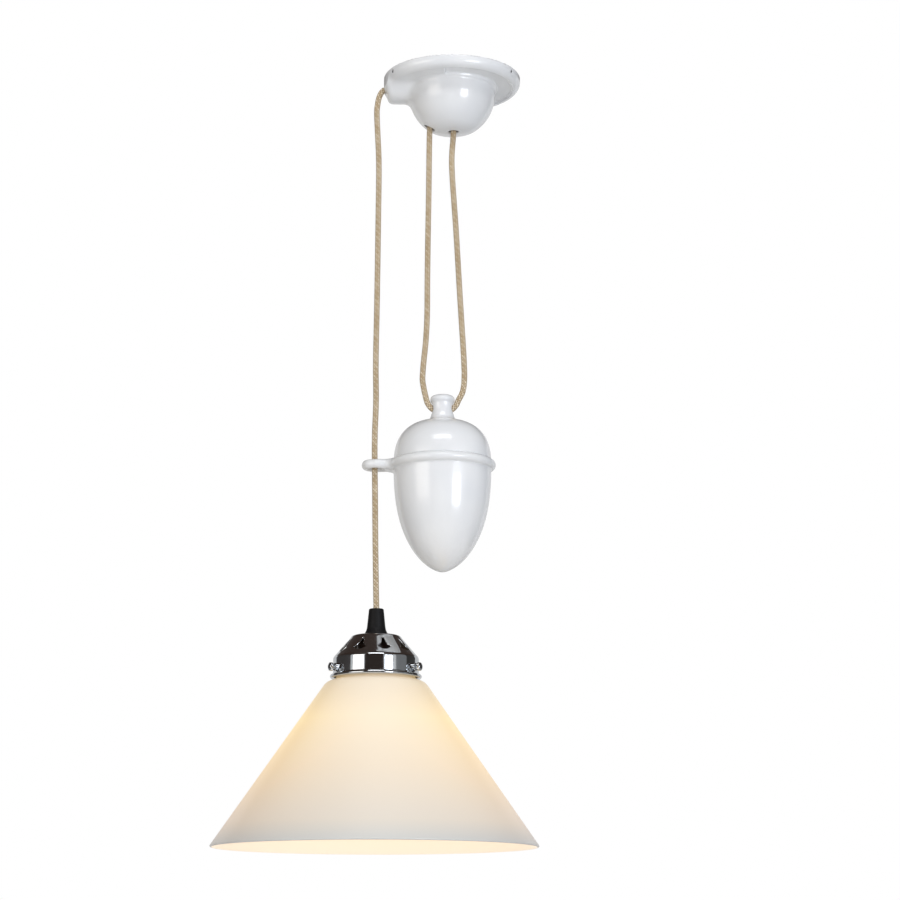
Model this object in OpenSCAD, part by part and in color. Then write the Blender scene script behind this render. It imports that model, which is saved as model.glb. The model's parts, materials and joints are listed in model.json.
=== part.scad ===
// Rise and fall pendant: a china ceiling rose with a pulley in it, a braided cord that runs
// over the pulley to a glass-shaded lamp, and a china counterweight that hangs in the cord's loop.
// Origin: centre of the rose on the ceiling plane. +Z is up, the lamp hangs towards -X, -Y is the front.
// Millimetres.

/* [Cord] */
// Diameter of the braided cord
cord_d = 6; // [5:0.25:6.5]
// Gap round the cord where it runs through the rose's exit hole
exit_clear = 1.5; // [1:0.25:2]
// Gap round the cord in the two holes under the dome
dome_hole_clear = 2; // [1:0.25:3]

/* [Ceiling rose] */
// Outside radius of the rose's flange
rose_r = 73; // [72:0.5:78]
// Depth of the flange, from the ceiling to its lip
flange_h = 12; // [11.5:0.5:13]
// Radius of the rounded lip of the flange
lip_r = 8; // [6:0.5:8.5]
// Depth of the recess inside the lip, on the side away from the spout
recess_d = 2.2; // [1:0.2:3]
// Thickness of the china
china_t = 3.5; // [3:0.25:4]
// Thickness of the flange's upright rim
rim_t = 4.5; // [4:0.25:5]
// Radius of the dome under the rose
dome_r = 46; // [46:0.5:48]
// Depth of the dome's centre below the ceiling
dome_c = 17.5; // [17:0.5:20]
// Depth of the dome's flat bottom below the ceiling
dome_h = 60.5; // [60:0.5:62]
// Depth of the spout's underside below the ceiling
spout_h = 27; // [26.5:0.5:28]
// Radius of the spout's round section
spout_r = 24; // [23:0.5:25]
// How far the spout's end leans back from its top to its underside
spout_lean = 5; // [4:0.5:6]
// Depth of the cord's exit hole below the ceiling
exit_depth = 11.5; // [11:0.25:12]
// Distance of the running strand's hole from the rose's axis
run_hole_x = 24; // [22:0.5:25]
// Distance of the fixed strand's hole from the rose's axis
fix_hole_x = 1.5; // [0:0.5:3]

/* [Back plate] */
// Gap between the back plate's skirt and the rose's rim
plate_gap = 2; // [1.5:0.25:3]
// Thickness of the back plate
plate_t = 1.5; // [1.2:0.1:2]
// Gap between the foot of the back plate's skirt and the china below it
skirt_gap = 0.3; // [0.2:0.1:0.8]
// Distance between the two ceiling screws
ceiling_pitch = 51; // [50.8:0.1:60]
// Radius of the ceiling screw holes
ceiling_hole_r = 2.5; // [2.25:0.25:2.75]
// Distance of the supply cable's grommet from the rose's axis
supply_y = 44; // [42:0.5:48]
// Radius of the grommet's bore
supply_r = 5; // [4:0.25:6]
// Radius of a grub screw in the rim
grub_r = 1.5; // [1.25:0.25:2]
// Depth of the grub screws below the ceiling
grub_depth = 4.5; // [4:0.25:5]

/* [Pulley] */
// Distance of the pulley's axle from the rose's axis
pulley_x = 30; // [29:0.25:31]
// Depth of the pulley's axle below the ceiling
pulley_depth = 18; // [17.75:0.25:18.5]
// Radius at which the middle of the cord runs round the pulley
pitch_r = 11; // [10.5:0.25:11]
// Width of the pulley
pulley_w = 9; // [8:0.25:10]
// Height of the pulley's flanges above the middle of the cord
flange_over = 1; // [0.5:0.25:1]
// Radius of the axle
axle_r = 2; // [1.5:0.25:2.5]
// Running gap between the axle and the bush
axle_gap = 0.05; // [0.02:0.01:0.1]
// Thickness of the yoke's steel
yoke_t = 1.5; // [1.2:0.1:1.8]
// Gap between the pulley and each cheek of its yoke
cheek_gap = 0.5; // [0.3:0.1:1]
// Distance of each yoke screw from the middle of the yoke
yoke_screw_y = 11.5; // [11.5:0.25:14]

/* [Rose wiring] */
// Distance of the cord clamp's middle from the rose's axis
clamp_x = 19.5; // [19:0.25:20]
// Length of the cord clamp along the cord
clamp_len = 6; // [5:0.25:7]
// Distance of each clamp screw from the cord
clamp_screw_y = 7; // [6.5:0.25:8]
// Distance of the terminal block's middle from the rose's axis
block_x = 35; // [34:0.25:35]
// Length of the terminal block along the wires
block_len = 9; // [8:0.5:10]
// Distance between the terminal block's ways
way_pitch = 7; // [6:0.25:7]

/* [Counterweight] */
// Distance of the counterweight's axis from the rose's axis
weight_x = 10; // [9:0.5:11]
// Depth of the counterweight's bead below the ceiling
bead_depth = 424; // [420:1:428]
// Radius of the counterweight's body at the bead
weight_r = 50.6; // [48:0.2:51]
// Height of the upper half above the bead
cap_h = 48; // [47:0.5:49]
// Height of the lower half below the bead
cup_h = 112; // [108:1:116]
// Thickness of the counterweight's china
weight_t = 5; // [4:0.25:6]
// Radius of the bead's round section
bead_t = 4.7; // [4:0.1:5]
// Distance of the cord's eyelet from the counterweight's axis
eyelet_x = 69.5; // [69:0.5:71]
// Radius of the eyelet's hole
eyelet_r = 6.5; // [5.5:0.25:7]
// Width of the eyelet's ring
eyelet_w = 7.7; // [6:0.25:8]
// Height of the eyelet's ring
eyelet_h = 10; // [8:0.5:11]
// Width of the arm where it leaves the body
arm_w = 24; // [20:0.5:26]
// Height of the finial's flat top above the bead
finial_h = 74.6; // [73.6:0.2:76]
// Radius of the finial's button
button_r = 13.2; // [12.8:0.2:14]
// Radius of the finial's neck
neck_r = 10.6; // [10.2:0.1:11]
// Radius of the cord's loop through the finial
loop_r = 17; // [16.5:0.25:17.5]
// Depth of the lead shot, up from the bottom of the cup
shot_h = 81.5; // [50:0.5:86]
// Thickness of the felt wad on the shot
wad_t = 8; // [6:1:12]

/* [Gallery] */
// Distance of the lamp's axis from the rose's axis
lamp_x = 77.5; // [77:0.5:80]
// Depth of the gallery's top below the ceiling
gallery_depth = 601; // [598:1:610]
// Length of the cord grip
grip_len = 27; // [24:1:27]
// Radius of the cord grip's top
grip_top_r = 7.5; // [7:0.25:8]
// Radius of the cord grip's foot
grip_foot_r = 12; // [11:0.25:13]
// Thickness of the gallery's spun brass
gallery_t = 1; // [0.8:0.1:1.2]
// Outside radius of the gallery's crown
crown_r = 25; // [24:0.5:27]
// Height of the gallery's pierced cone
cone_h = 22; // [20:0.5:23]
// Outside radius of the gallery's belt
belt_r = 43.7; // [43:0.1:45]
// Height of the gallery's belt
belt_h = 19; // [18:0.5:20]
// Radius of the rolled lip's section
roll_r = 2; // [1.6:0.1:2.2]
// Number of pierced holes in the cone
hole_count = 9; // [6:1:9]
// Width of a pierced hole
hole_w = 14; // [11:0.5:15]
// Height of a pierced hole
hole_h = 17; // [14:0.5:18]
// Turn of the first pierced hole from the front
hole_turn = 15; // [0:1:22]
// Radius of a thumb screw's shank
thumb_r = 1.6; // [1.4:0.1:1.8]
// Radius of a thumb screw's knurled head
thumb_head_r = 4.3; // [3.5:0.1:4.5]
// Length of a thumb screw's knurled head
thumb_head_len = 5; // [4:0.25:6]

/* [Shade] */
// Radius of the shade at its rim
shade_r = 165; // [155:1:175]
// Height of the shade below the gallery's top
shade_h = 214; // [205:1:220]
// Thickness of the opal glass
glass_t = 3; // [2.5:0.1:3.5]
// Gap between the shade's neck and the gallery
neck_gap = 1; // [0.8:0.1:1.5]
// Height of the shade's neck bead
neck_bead_h = 4.5; // [4:0.25:5]

/* [Lampholder and bulb] */
// Outside radius of the threaded nipple
nipple_r = 5; // [4.75:0.05:5.25]
// Outside radius of the lampholder
holder_r = 20; // [19.5:0.25:21]
// Height of the lampholder's cap
holder_cap_h = 20; // [19:0.5:21]
// Height of the lampholder's body
holder_body_h = 31; // [29:0.5:32]
// Radius of the bulb's screw cap
cap_r = 13.2; // [13:0.05:13.25]
// Radius of the bulb's glass
bulb_r = 30; // [27.5:0.5:32]
// Length of the bulb, from contact to glass end
bulb_len = 105; // [100:1:110]

/* [Hidden] */
$fn = 64;

fit = 0.05;          // gap of a screw, pin or plug in its own hole
seat = 0.3;          // gap between pieces that rest against each other but may move apart
cord_r = cord_d / 2;
cord_sides = 8;

// Rose
rim_in_r = rose_r - rim_t;
plate_r = rim_in_r - plate_gap;
lip_in_r = rose_r - lip_r - 2;
plate_under_z = -flange_h + recess_d;      // underside of the flange's recessed plate, at the lip
skirt_h = flange_h - recess_d - china_t - skirt_gap;
earth_x = 18;
dome_in_r = dome_r - china_t;
flat_a = asin((dome_h - dome_c) / dome_r);
flat_in_a = asin((dome_h - china_t - dome_c) / dome_in_r);
spout_root_x = 8;                          // start of the spout, inside the dome
spout_top_z = lip_r - flange_h;            // the spout's end drops straight from the rim
rim_angles = [-30, -150, 90];              // the three grub screws and the three thumb screws
grommet_flange = 2;

// Pulley
pulley_z = -pulley_depth;
cheek_y = pulley_w / 2 + cheek_gap;
yoke_half_x = 6;
bush_r = axle_r + 2;
groove_r = cord_r + 0.4;

// Wiring
clamp_cord_z = -9;                         // height of the cord's straight end in the clamp
clamp_half_y = clamp_screw_y + 3.5;
wire_z = -7.5;
block_h = 10;
block_half_y = way_pitch + 4;
wire_r = 1;

// Counterweight
bead_z = -bead_depth;
cap_power = 2.6;
cup_power = 2.45;
cup_taper = 0.6;
seam_z = bead_z + bead_t + fit;            // the cap stands on the cup just above the bead
register_h = 8;                            // height of the cup's inner rim inside the cap
cement_t = 1.1;
register_r = weight_r - weight_t - 1.8;
loop_z = bead_z + finial_h - 18.1 + loop_r;   // centre of the cord's loop
loop_hole_r = cord_r + 1;

// Lamp
gallery_z = -gallery_depth;
belt_top_z = gallery_z - 1.5 - cone_h;
belt_foot_z = belt_top_z - belt_h;
screw_z = belt_top_z - belt_h * 0.62;
glass_neck_r = belt_r - gallery_t - neck_gap;
glass_waist_r = glass_neck_r - 2;
neck_foot_z = screw_z + thumb_r + seat;    // the neck bead rests on the thumb screws
boss_r = 4.2;
boss_end = belt_r + 3.8;                   // outer face of a boss, from the lamp's axis
head_start = boss_end + 1.2;
nut_h = 3;
holder_top_z = gallery_z - gallery_t - nut_h;
holder_t = 2;
body_top_z = holder_top_z - holder_cap_h;
body_foot_z = body_top_z - holder_body_h;
shell_r = cap_r + 0.4;
shell_t = 0.6;
contact_z = body_top_z - 7;                // face of the centre contact that the bulb meets
bulb_cap_h = 25;
bulb_c_z = contact_z - bulb_len + bulb_r;  // centre of the bulb's round end
bulb_wall = 1;

// Routes of the cord, in the plane of the pulley
lamp_route = [
    [-72.3, 0, -11.4], [-75.8, 0, -15], [-78.4, 0, -21], [-79.7, 0, -28], [-80.5, 0, -38],
    [-79.6, 0, -60], [-78, 0, -97], [-78.3, 0, -166], [-79, 0, -249], [-79.8, 0, -314],
    [-79.3, 0, -355], [-80.4, 0, -400], [-79.6, 0, -458], [-78.8, 0, -513], [-78, 0, -552],
    [-lamp_x, 0, -gallery_depth + grip_len + 0.2]
];
loop_arc = [for (a = [195 : 15 : 345]) [-weight_x + loop_r * cos(a), 0, loop_z + loop_r * sin(a)]];
loop_rise = [0, 0, 1.5];                   // the loop and its strands meet square, on a short upright bit each
loop_left = loop_arc[0] + loop_rise;
loop_right = loop_arc[len(loop_arc) - 1] + loop_rise;
run_route = [
    [-23.8, 0, -57], [-24.3, 0, -80], [-24.6, 0, -110], [-25, 0, -145], [-25.6, 0, -185],
    [-26, 0, -225], [-26.2, 0, -262], [-27.5, 0, -290], [-29.8, 0, -314], [-30.9, 0, -331],
    [-30, 0, -339], [-28.4, 0, -347], loop_left + loop_rise
];
fix_route = [
    [1.5, 0, -62], [-0.3, 0, -90], [0.6, 0, -115], [2.4, 0, -142], [4.4, 0, -172],
    [6.3, 0, -206], [8.2, 0, -240], [10, 0, -270], [11.6, 0, -296], [12.7, 0, -318],
    [12.9, 0, -328], [12.3, 0, -339], [10.5, 0, -347], loop_right + loop_rise
];
tail_route = [
    [1.5, 0, -62], [2, 0, -50], [3, 0, -38], [4.5, 0, -27], [7, 0, -18], [11, 0, -12], [16, 0, -9.2],
    [20, 0, clamp_cord_z], [24.5, 0, clamp_cord_z]
];
wrap_angles = [-7, 10, 27, 44, 61, 78, 96];
wrap_route = concat(
    [run_route[0], [-21.5, 0, -39]],
    [for (a = wrap_angles) [-pulley_x + pitch_r * cos(a), 0, pulley_z + pitch_r * sin(a)]],
    [[-52, 0, -9.3], lamp_route[0]]
);

// An arc in two dimensions as n + 1 points
function arc(c, r, a0, a1, n) =
    [for (i = [0 : n]) let (a = a0 + (a1 - a0) * i / n) [c[0] + r * cos(a), c[1] + r * sin(a)]];

// A bent line from p to q that point m pulls on, as n points without q
function bend(p, m, q, n) =
    [for (i = [0 : n - 1]) let (t = i / n) (1 - t) * (1 - t) * p + 2 * t * (1 - t) * m + t * t * q];

// A smooth curve through the points of a route, as n + 1 points
function between(a, b, c, d, t) =
    0.5 * (2 * b + (c - a) * t + (2 * a - 5 * b + 4 * c - d) * t * t + (3 * b - a - 3 * c + d) * t * t * t);
function smooth(p, n) = [
    for (i = [0 : n])
        let (u = i / n * (len(p) - 1), k = min(floor(u), len(p) - 2))
            between(p[max(k - 1, 0)], p[k], p[k + 1], p[min(k + 2, len(p) - 1)], u - k)
];
function unit(v) = v / norm(v);

// A tube along a route: one ring of points at each point of the route
module tube(p, r, sides) {
    n = len(p);
    rings = [
        for (i = [0 : n - 1])
            let (t = unit(p[min(i + 1, n - 1)] - p[max(i - 1, 0)]), u = unit(cross(t, [0, 1, 0])), v = cross(u, t))
                for (k = [0 : sides - 1])
                    let (a = 360 * (k + 0.5) / sides) p[i] + r * (cos(a) * v + sin(a) * u)
    ];
    sides_f = [
        for (i = [0 : n - 2]) for (k = [0 : sides - 1])
            let (a = i * sides + k, b = i * sides + (k + 1) % sides)
                each [[a, b, b + sides], [a, b + sides, a + sides]]
    ];
    caps = [
        for (k = [1 : sides - 2])
            let (e = (n - 1) * sides)
                each [[0, k + 1, k], [e, e + k, e + k + 1]]
    ];
    polyhedron(rings, concat(sides_f, caps));
}

// A ring or a plain disc between two heights
module disc(r, z0, z1, hole = 0) {
    translate([0, 0, min(z0, z1)])
        difference() {
            cylinder(r = r, h = abs(z1 - z0));
            if (hole > 0) translate([0, 0, -1]) cylinder(r = hole, h = abs(z1 - z0) + 2);
        }
}

// A rod that points outwards from an axis at angle a, from radius r0 to r1
module spoke(a, z, r, r0, r1) {
    rotate([0, 0, a]) translate([r0, 0, z]) rotate([0, 90, 0]) cylinder(r = r, h = r1 - r0, $fn = 32);
}

module at_weight() { translate([-weight_x, 0, 0]) children(); }
module at_lamp() { translate([-lamp_x, 0, 0]) children(); }

// ---------- ceiling rose ----------
module rose_outside() {
    rotate_extrude($fn = 96) polygon(concat(
        [[0, 0], [rose_r, 0]],
        arc([rose_r - lip_r, -flange_h + lip_r], lip_r, 0, -90, 8),
        [[lip_in_r, plate_under_z], [dome_r + 2.5, -flange_h + 1], [dome_r + 0.8, -flange_h - 0.2]],
        arc([0, -dome_c], dome_r, 0, -flat_a, 14),
        [[0, -dome_h]]
    ));
}
module rose_inside() {
    rotate_extrude($fn = 96) polygon(concat(
        [[0, 1], [rim_in_r, 1], [rim_in_r, plate_under_z + china_t], [dome_in_r, plate_under_z + china_t - 1]],
        arc([0, -dome_c], dome_in_r, 0, -flat_in_a, 14),
        [[0, -dome_h + china_t]]
    ));
}
// The spout's volume, made smaller all round by s: a round barrel whose end follows the rim and leans back
module spout(s) {
    end = rose_r - s;
    foot = -spout_h + s;
    intersection() {
        translate([-spout_root_x, 0, spout_r - spout_h]) rotate([0, -90, 0])
            cylinder(r = spout_r - s, h = rose_r, $fn = 80);
        rotate_extrude($fn = 96) polygon([
            [0, spout_top_z], [end, spout_top_z], [end, -flange_h + 2], [end - spout_lean * 0.6, -spout_h + 7.5],
            [end - spout_lean, foot + 2.8], [end - spout_lean - 2.5, foot + 0.6], [end - spout_lean - 6, foot],
            [0, foot]
        ]);
    }
}
module ceiling_rose() {
    color([0.9, 0.91, 0.92]) difference() {
        union() {
            rose_outside();
            // the recess is filled on the spout's side
            rotate([0, 0, 97]) rotate_extrude(angle = 166, $fn = 96)
                translate([dome_r - 1, -flange_h]) square([rose_r - lip_r - dome_r + 1, recess_d + 0.8]);
            spout(0);
        }
        rose_inside();
        spout(china_t);
        translate([-rose_r - 1, 0, -exit_depth]) rotate([0, 90, 0])
            cylinder(r = cord_r + exit_clear, h = rim_t + 8, $fn = 32);
        for (x = [-run_hole_x, fix_hole_x])
            translate([x, 0, -dome_h - 1]) cylinder(r = cord_r + dome_hole_clear, h = dome_h - dome_c);
        for (a = rim_angles) spoke(a, -grub_depth, grub_r + fit, rim_in_r - 1, rose_r + 1);
    }
}

// ---------- back plate and what it carries ----------
module back_plate() {
    color("silver") difference() {
        disc(plate_r, 0, -skirt_h);
        disc(plate_r - plate_t, -plate_t, -skirt_h - 1);
        for (s = [-1, 1]) {
            translate([0, s * ceiling_pitch / 2, 0]) disc(ceiling_hole_r, 1, -plate_t - 1);
            translate([-pulley_x, s * yoke_screw_y, 0]) disc(2, 1, -plate_t - 1);
            translate([clamp_x, s * clamp_screw_y, 0]) disc(1.5 + fit, 1, -plate_t - 1);
        }
        translate([0, supply_y, 0]) disc(supply_r + 3, 1, -plate_t - 1);
        translate([earth_x, -supply_y, 0]) disc(2, 1, -plate_t - 1);
        // the cord leaves over the skirt
        translate([-plate_r - 2, -cord_r - 3, -skirt_h - 1]) cube([12, cord_d + 6, skirt_h - 2]);
    }
}
module grub_screws() {
    color("gray") for (a = rim_angles) difference() {
        spoke(a, -grub_depth, grub_r, plate_r + fit, rose_r - 0.6);
        rotate([0, 0, a]) translate([rose_r - 2, 0, -grub_depth]) rotate([0, 90, 0]) cylinder(r = 0.8, h = 3, $fn = 6);
    }
}
module supply_grommet() {
    color("dimgray") translate([0, supply_y, 0]) {
        difference() {
            union() {
                disc(supply_r + 3 - fit, 0, -plate_t);
                disc(supply_r + 5, -plate_t, -plate_t - grommet_flange);
            }
            disc(supply_r, 1, -plate_t - grommet_flange - 1);
        }
    }
}
module earth_screw() {
    color("goldenrod") translate([earth_x, -supply_y, 0]) difference() {
        union() {
            disc(2 - fit, -0.2, -plate_t);
            disc(4, -plate_t, -plate_t - 2.6);
        }
        translate([-5, -0.5, -plate_t - 3]) cube([10, 1, 1.2]);
    }
}
module pulley_yoke() {
    color("silver") difference() {
        union() {
            translate([-pulley_x - yoke_half_x - 1, -yoke_screw_y - 4, -plate_t - yoke_t])
                cube([2 * yoke_half_x + 2, 2 * yoke_screw_y + 8, yoke_t]);
            for (s = [-1, 1]) translate([-pulley_x, s * (cheek_y + yoke_t / 2), 0]) rotate([90, 0, 0]) {
                translate([0, pulley_z, -yoke_t / 2]) cylinder(r = yoke_half_x, h = yoke_t);
                translate([-yoke_half_x, pulley_z, -yoke_t / 2])
                    cube([2 * yoke_half_x, pulley_depth - plate_t - yoke_t / 2, yoke_t]);
            }
        }
        translate([-pulley_x, -20, pulley_z]) rotate([-90, 0, 0]) cylinder(r = axle_r + 0.02, h = 40);
        for (s = [-1, 1]) translate([-pulley_x, s * yoke_screw_y, 0]) disc(2, 1, -plate_t - yoke_t - 1);
    }
}
module pulley_axle() {
    reach = cheek_y + yoke_t;
    color("gray") translate([-pulley_x, 0, pulley_z]) rotate([90, 0, 0]) {
        disc(axle_r, -reach - 1, reach + 1);
        for (s = [-1, 1]) disc(axle_r + 1.2, s * (reach + fit), s * (reach + 1.4));
    }
}
module yoke_screws() {
    under = -plate_t - yoke_t;
    color("gray") for (s = [-1, 1]) translate([-pulley_x, s * yoke_screw_y, 0]) difference() {
        union() {
            disc(2 - fit, -0.2, under);
            disc(3.4, under, under - 2.4);
        }
        translate([-4, -0.5, under - 3]) cube([8, 1, 1.4]);
    }
}
module rose_pulley() {
    color("saddlebrown") translate([-pulley_x, 0, pulley_z]) rotate([90, 0, 0]) difference() {
        disc(pitch_r + flange_over, -pulley_w / 2, pulley_w / 2);
        rotate_extrude() translate([pitch_r, 0]) circle(r = groove_r, $fn = 32);
        disc(bush_r, -pulley_w, pulley_w);
    }
}
module pulley_bush() {
    color("goldenrod") translate([-pulley_x, 0, pulley_z]) rotate([90, 0, 0])
        disc(bush_r, -pulley_w / 2, pulley_w / 2, axle_r + axle_gap);
}
module cord_clamp_block() {
    top = clamp_cord_z + cord_r;
    color("white") difference() {
        translate([clamp_x - clamp_len / 2, -clamp_half_y, top])
            cube([clamp_len, 2 * clamp_half_y, -plate_t - top]);
        for (s = [-1, 1]) translate([clamp_x, s * clamp_screw_y, 0]) disc(1.5 + fit, 1, top - 1);
    }
}
module cord_clamp_saddle() {
    top = clamp_cord_z + cord_r;
    foot = clamp_cord_z - cord_r - 2;
    color("white") difference() {
        translate([clamp_x - clamp_len / 2, -clamp_half_y, foot]) cube([clamp_len, 2 * clamp_half_y, top - foot]);
        translate([clamp_x - clamp_len, -cord_r - fit, clamp_cord_z - cord_r - fit])
            cube([2 * clamp_len, cord_d + 2 * fit, cord_d + 1]);
        for (s = [-1, 1]) translate([clamp_x, s * clamp_screw_y, 0]) disc(1.5 + fit, 1, foot - 1);
    }
}
module clamp_screws() {
    foot = clamp_cord_z - cord_r - 2;
    color("gray") for (s = [-1, 1]) translate([clamp_x, s * clamp_screw_y, 0]) difference() {
        union() {
            disc(1.5, -0.2, foot);
            disc(2.8, foot, foot - 2);
        }
        translate([-3, -0.4, foot - 3]) cube([6, 0.8, 2]);
    }
}
module terminal_block() {
    foot = -plate_t - block_h;
    color("white") difference() {
        translate([block_x - block_len / 2, -block_half_y, foot]) cube([block_len, 2 * block_half_y, block_h]);
        for (k = [-1, 0, 1]) translate([block_x, k * way_pitch, 0]) {
            translate([-block_len, 0, wire_z]) rotate([0, 90, 0]) cylinder(r = wire_r + 0.5, h = 2 * block_len, $fn = 32);
            for (s = [-1, 1]) translate([s * block_len / 4, 0, 0]) disc(1.5 + fit, wire_z, foot - 1);
        }
    }
}
module terminal_screws() {
    color("goldenrod") for (k = [-1, 0, 1], s = [-1, 1])
        translate([block_x + s * block_len / 4, k * way_pitch, 0])
            disc(1.5, wire_z - wire_r - fit, -plate_t - block_h + 0.6);
}
module core_leads() {
    for (k = [-1, 0, 1])
        color(["saddlebrown", "steelblue", "yellowgreen"][k + 1])
            tube([
                [24.55, k * 1.9, clamp_cord_z], [25.6, k * 1.9, clamp_cord_z],
                [block_x - block_len / 2 - 1, k * way_pitch, wire_z], [block_x + 1, k * way_pitch, wire_z]
            ], wire_r, cord_sides);
}

// ---------- cord ----------
module cord_rose_tail() { color("tan") tube(tail_route, cord_r, cord_sides); }
module cord_over_pulley() { color("tan") tube(wrap_route, cord_r, cord_sides); }
module strand_fixed() { color("tan") tube(concat(smooth(fix_route, 26), [loop_right]), cord_r, cord_sides); }
module strand_running() { color("tan") tube(concat(smooth(run_route, 24), [loop_left]), cord_r, cord_sides); }
module lamp_cord() { color("tan") tube(smooth(lamp_route, 30), cord_r, cord_sides); }
module cord_loop() { color("tan") tube(concat([loop_left], loop_arc, [loop_right]), cord_r, cord_sides); }

// ---------- counterweight ----------
// Radius of the upper and lower half at height h from the bead, for a body of radius r and height H
function cap_radius(h, r, H) = r * pow(max(1 - pow(h / H, cap_power), 0), 1 / cap_power);
function cup_radius(h, r, H) = r * pow(max(1 - pow(h / H, cup_power), 0), cup_taper);
// Heights that crowd together towards the end of a half
function even_heights(H, n) = [for (i = [0 : n]) H * sin(90 * i / n)];
function cap_outline(r, H, z, n) = [for (h = even_heights(H, n)) [cap_radius(h, r, H), z + h]];
function cup_outline(r, H, z, n) = [for (h = even_heights(H, n)) [cup_radius(h, r, H), z - h]];

module finial() {
    top = bead_z + finial_h;
    rotate_extrude() polygon(concat(
        [[0, bead_z + cap_h - weight_t], [0, top]],
        arc([button_r - 5, top - 5], 5, 90, 0, 6),
        [
            [button_r - 0.6, top - 6.6], [neck_r + 0.2, top - 8.6], [neck_r - 0.1, top - 12], [neck_r, top - 16],
            [neck_r + 0.7, top - 20], [neck_r + 2, top - 24], [neck_r + 3, bead_z + cap_h + 0.6],
            [neck_r + 6, bead_z + cap_h - 1], [neck_r + 6, bead_z + cap_h - weight_t]
        ]
    ));
}
module counterweight_cap() {
    color([0.9, 0.91, 0.92]) at_weight() difference() {
        union() {
            rotate_extrude() polygon(concat([[0, bead_z]], cap_outline(weight_r, cap_h, bead_z, 20)));
            finial();
        }
        disc(weight_r + 9, bead_z - 1, seam_z);
        difference() {
            rotate_extrude() polygon(concat(
                [[0, bead_z]], cap_outline(weight_r - weight_t, cap_h - weight_t, bead_z, 20)
            ));
            disc(weight_r, seam_z + register_h, bead_z + cap_h + 1);
        }
        rotate_extrude() polygon(concat(
            [[0, bead_z]], cap_outline(weight_r - weight_t - 0.6, cap_h - weight_t - 0.6, bead_z, 20)
        ));
        translate([0, 0, loop_z]) rotate([90, 0, 0])
            rotate_extrude() translate([loop_r, 0]) circle(r = loop_hole_r, $fn = 32);
    }
}
// A rounded section for the eyelet's ring, 2 a wide and 2 b high
module ring_section(a, b) {
    polygon([for (i = [0 : 23]) let (t = i * 15) [a * cos(t), b * sign(sin(t)) * pow(abs(sin(t)), 0.8)]]);
}
module eyelet_arm() {
    arm_end = eyelet_r + eyelet_w - 2.6;
    translate([-eyelet_x, 0, 0]) difference() {
        translate([0, 0, bead_z]) rotate_extrude() translate([eyelet_r + eyelet_w / 2 - 0.3, 0])
            ring_section(eyelet_w / 2 + 0.3, eyelet_h / 2);
        disc(eyelet_r, bead_z - eyelet_h, bead_z + eyelet_h);
    }
    difference() {
        translate([0, 0, bead_z - eyelet_h / 2 + 1]) linear_extrude(eyelet_h - 2) polygon([
            [-weight_r + 6, -arm_w / 2], [-weight_r - 2, -arm_w / 2 + 2], [-eyelet_x + 4, -arm_end],
            [-eyelet_x + 4, arm_end], [-weight_r - 2, arm_w / 2 - 2], [-weight_r + 6, arm_w / 2]
        ]);
        translate([-eyelet_x, 0, 0]) disc(eyelet_r + eyelet_w / 2, bead_z - eyelet_h, bead_z + eyelet_h);
    }
}
module counterweight_cup() {
    in_r = weight_r - weight_t;
    color([0.9, 0.91, 0.92]) at_weight() difference() {
        union() {
            rotate_extrude() polygon(concat([[0, bead_z]], cup_outline(weight_r, cup_h, bead_z, 24)));
            disc(weight_r, bead_z, seam_z);
            rotate_extrude() translate([weight_r, bead_z]) circle(r = bead_t, $fn = 32);
            disc(register_r, bead_z, seam_z + register_h - 1);
            eyelet_arm();
        }
        rotate_extrude() polygon(concat([[0, bead_z + 0.1]], cup_outline(in_r, cup_h - weight_t, bead_z, 24)));
        disc(register_r - 3.5, bead_z - 2, seam_z + register_h);
    }
}
module cement_ring() {
    color("lightgray") at_weight()
        disc(register_r + cement_t, seam_z, seam_z + register_h - 1.5, register_r + 0.02);
}
// The shot's own outline keeps a small gap to the china
shot_r = weight_r - weight_t - seat;
shot_cup_h = cup_h - weight_t - seat;
shot_top_h = shot_cup_h - shot_h;
module shot_slice(h0, h1) {
    intersection() {
        rotate_extrude() polygon(concat([[0, bead_z]], cup_outline(shot_r, shot_cup_h, bead_z, 24)));
        disc(weight_r, bead_z - h0, bead_z - h1);
    }
}
module lead_shot() { color("dimgray") at_weight() shot_slice(shot_top_h, shot_cup_h + 1); }
module felt_wad() { color("gray") at_weight() shot_slice(shot_top_h - wad_t, shot_top_h); }

// ---------- lamp ----------
module cord_grip() {
    color([0.08, 0.08, 0.08]) at_lamp() difference() {
        rotate_extrude() polygon([
            [0, gallery_z], [grip_foot_r, gallery_z], [grip_foot_r - 0.4, gallery_z + 1],
            [grip_foot_r - 1.6, gallery_z + 4], [grip_top_r + 0.1, gallery_z + grip_len - 2],
            [grip_top_r - 0.3, gallery_z + grip_len - 0.6], [grip_top_r - 1, gallery_z + grip_len],
            [0, gallery_z + grip_len]
        ]);
        disc(cord_r + 0.1, gallery_z, gallery_z + grip_len + 1);
        disc(nipple_r + fit, gallery_z - 1, gallery_z + grip_len / 2);
    }
}
module lamp_cord_end() {
    color("tan") at_lamp() disc(cord_r, gallery_z + grip_len, holder_top_z - 3, $fn = 32);
}
module nipple() {
    color("goldenrod") at_lamp()
        disc(nipple_r, gallery_z + grip_len / 2 - 0.5, holder_top_z - holder_t - 1, cord_r + 0.2);
}
module lock_nut() {
    color("goldenrod") at_lamp() difference() {
        translate([0, 0, holder_top_z]) cylinder(r = nipple_r * 1.6, h = nut_h, $fn = 6);
        disc(nipple_r + fit, gallery_z, holder_top_z - 1);
    }
}
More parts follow.
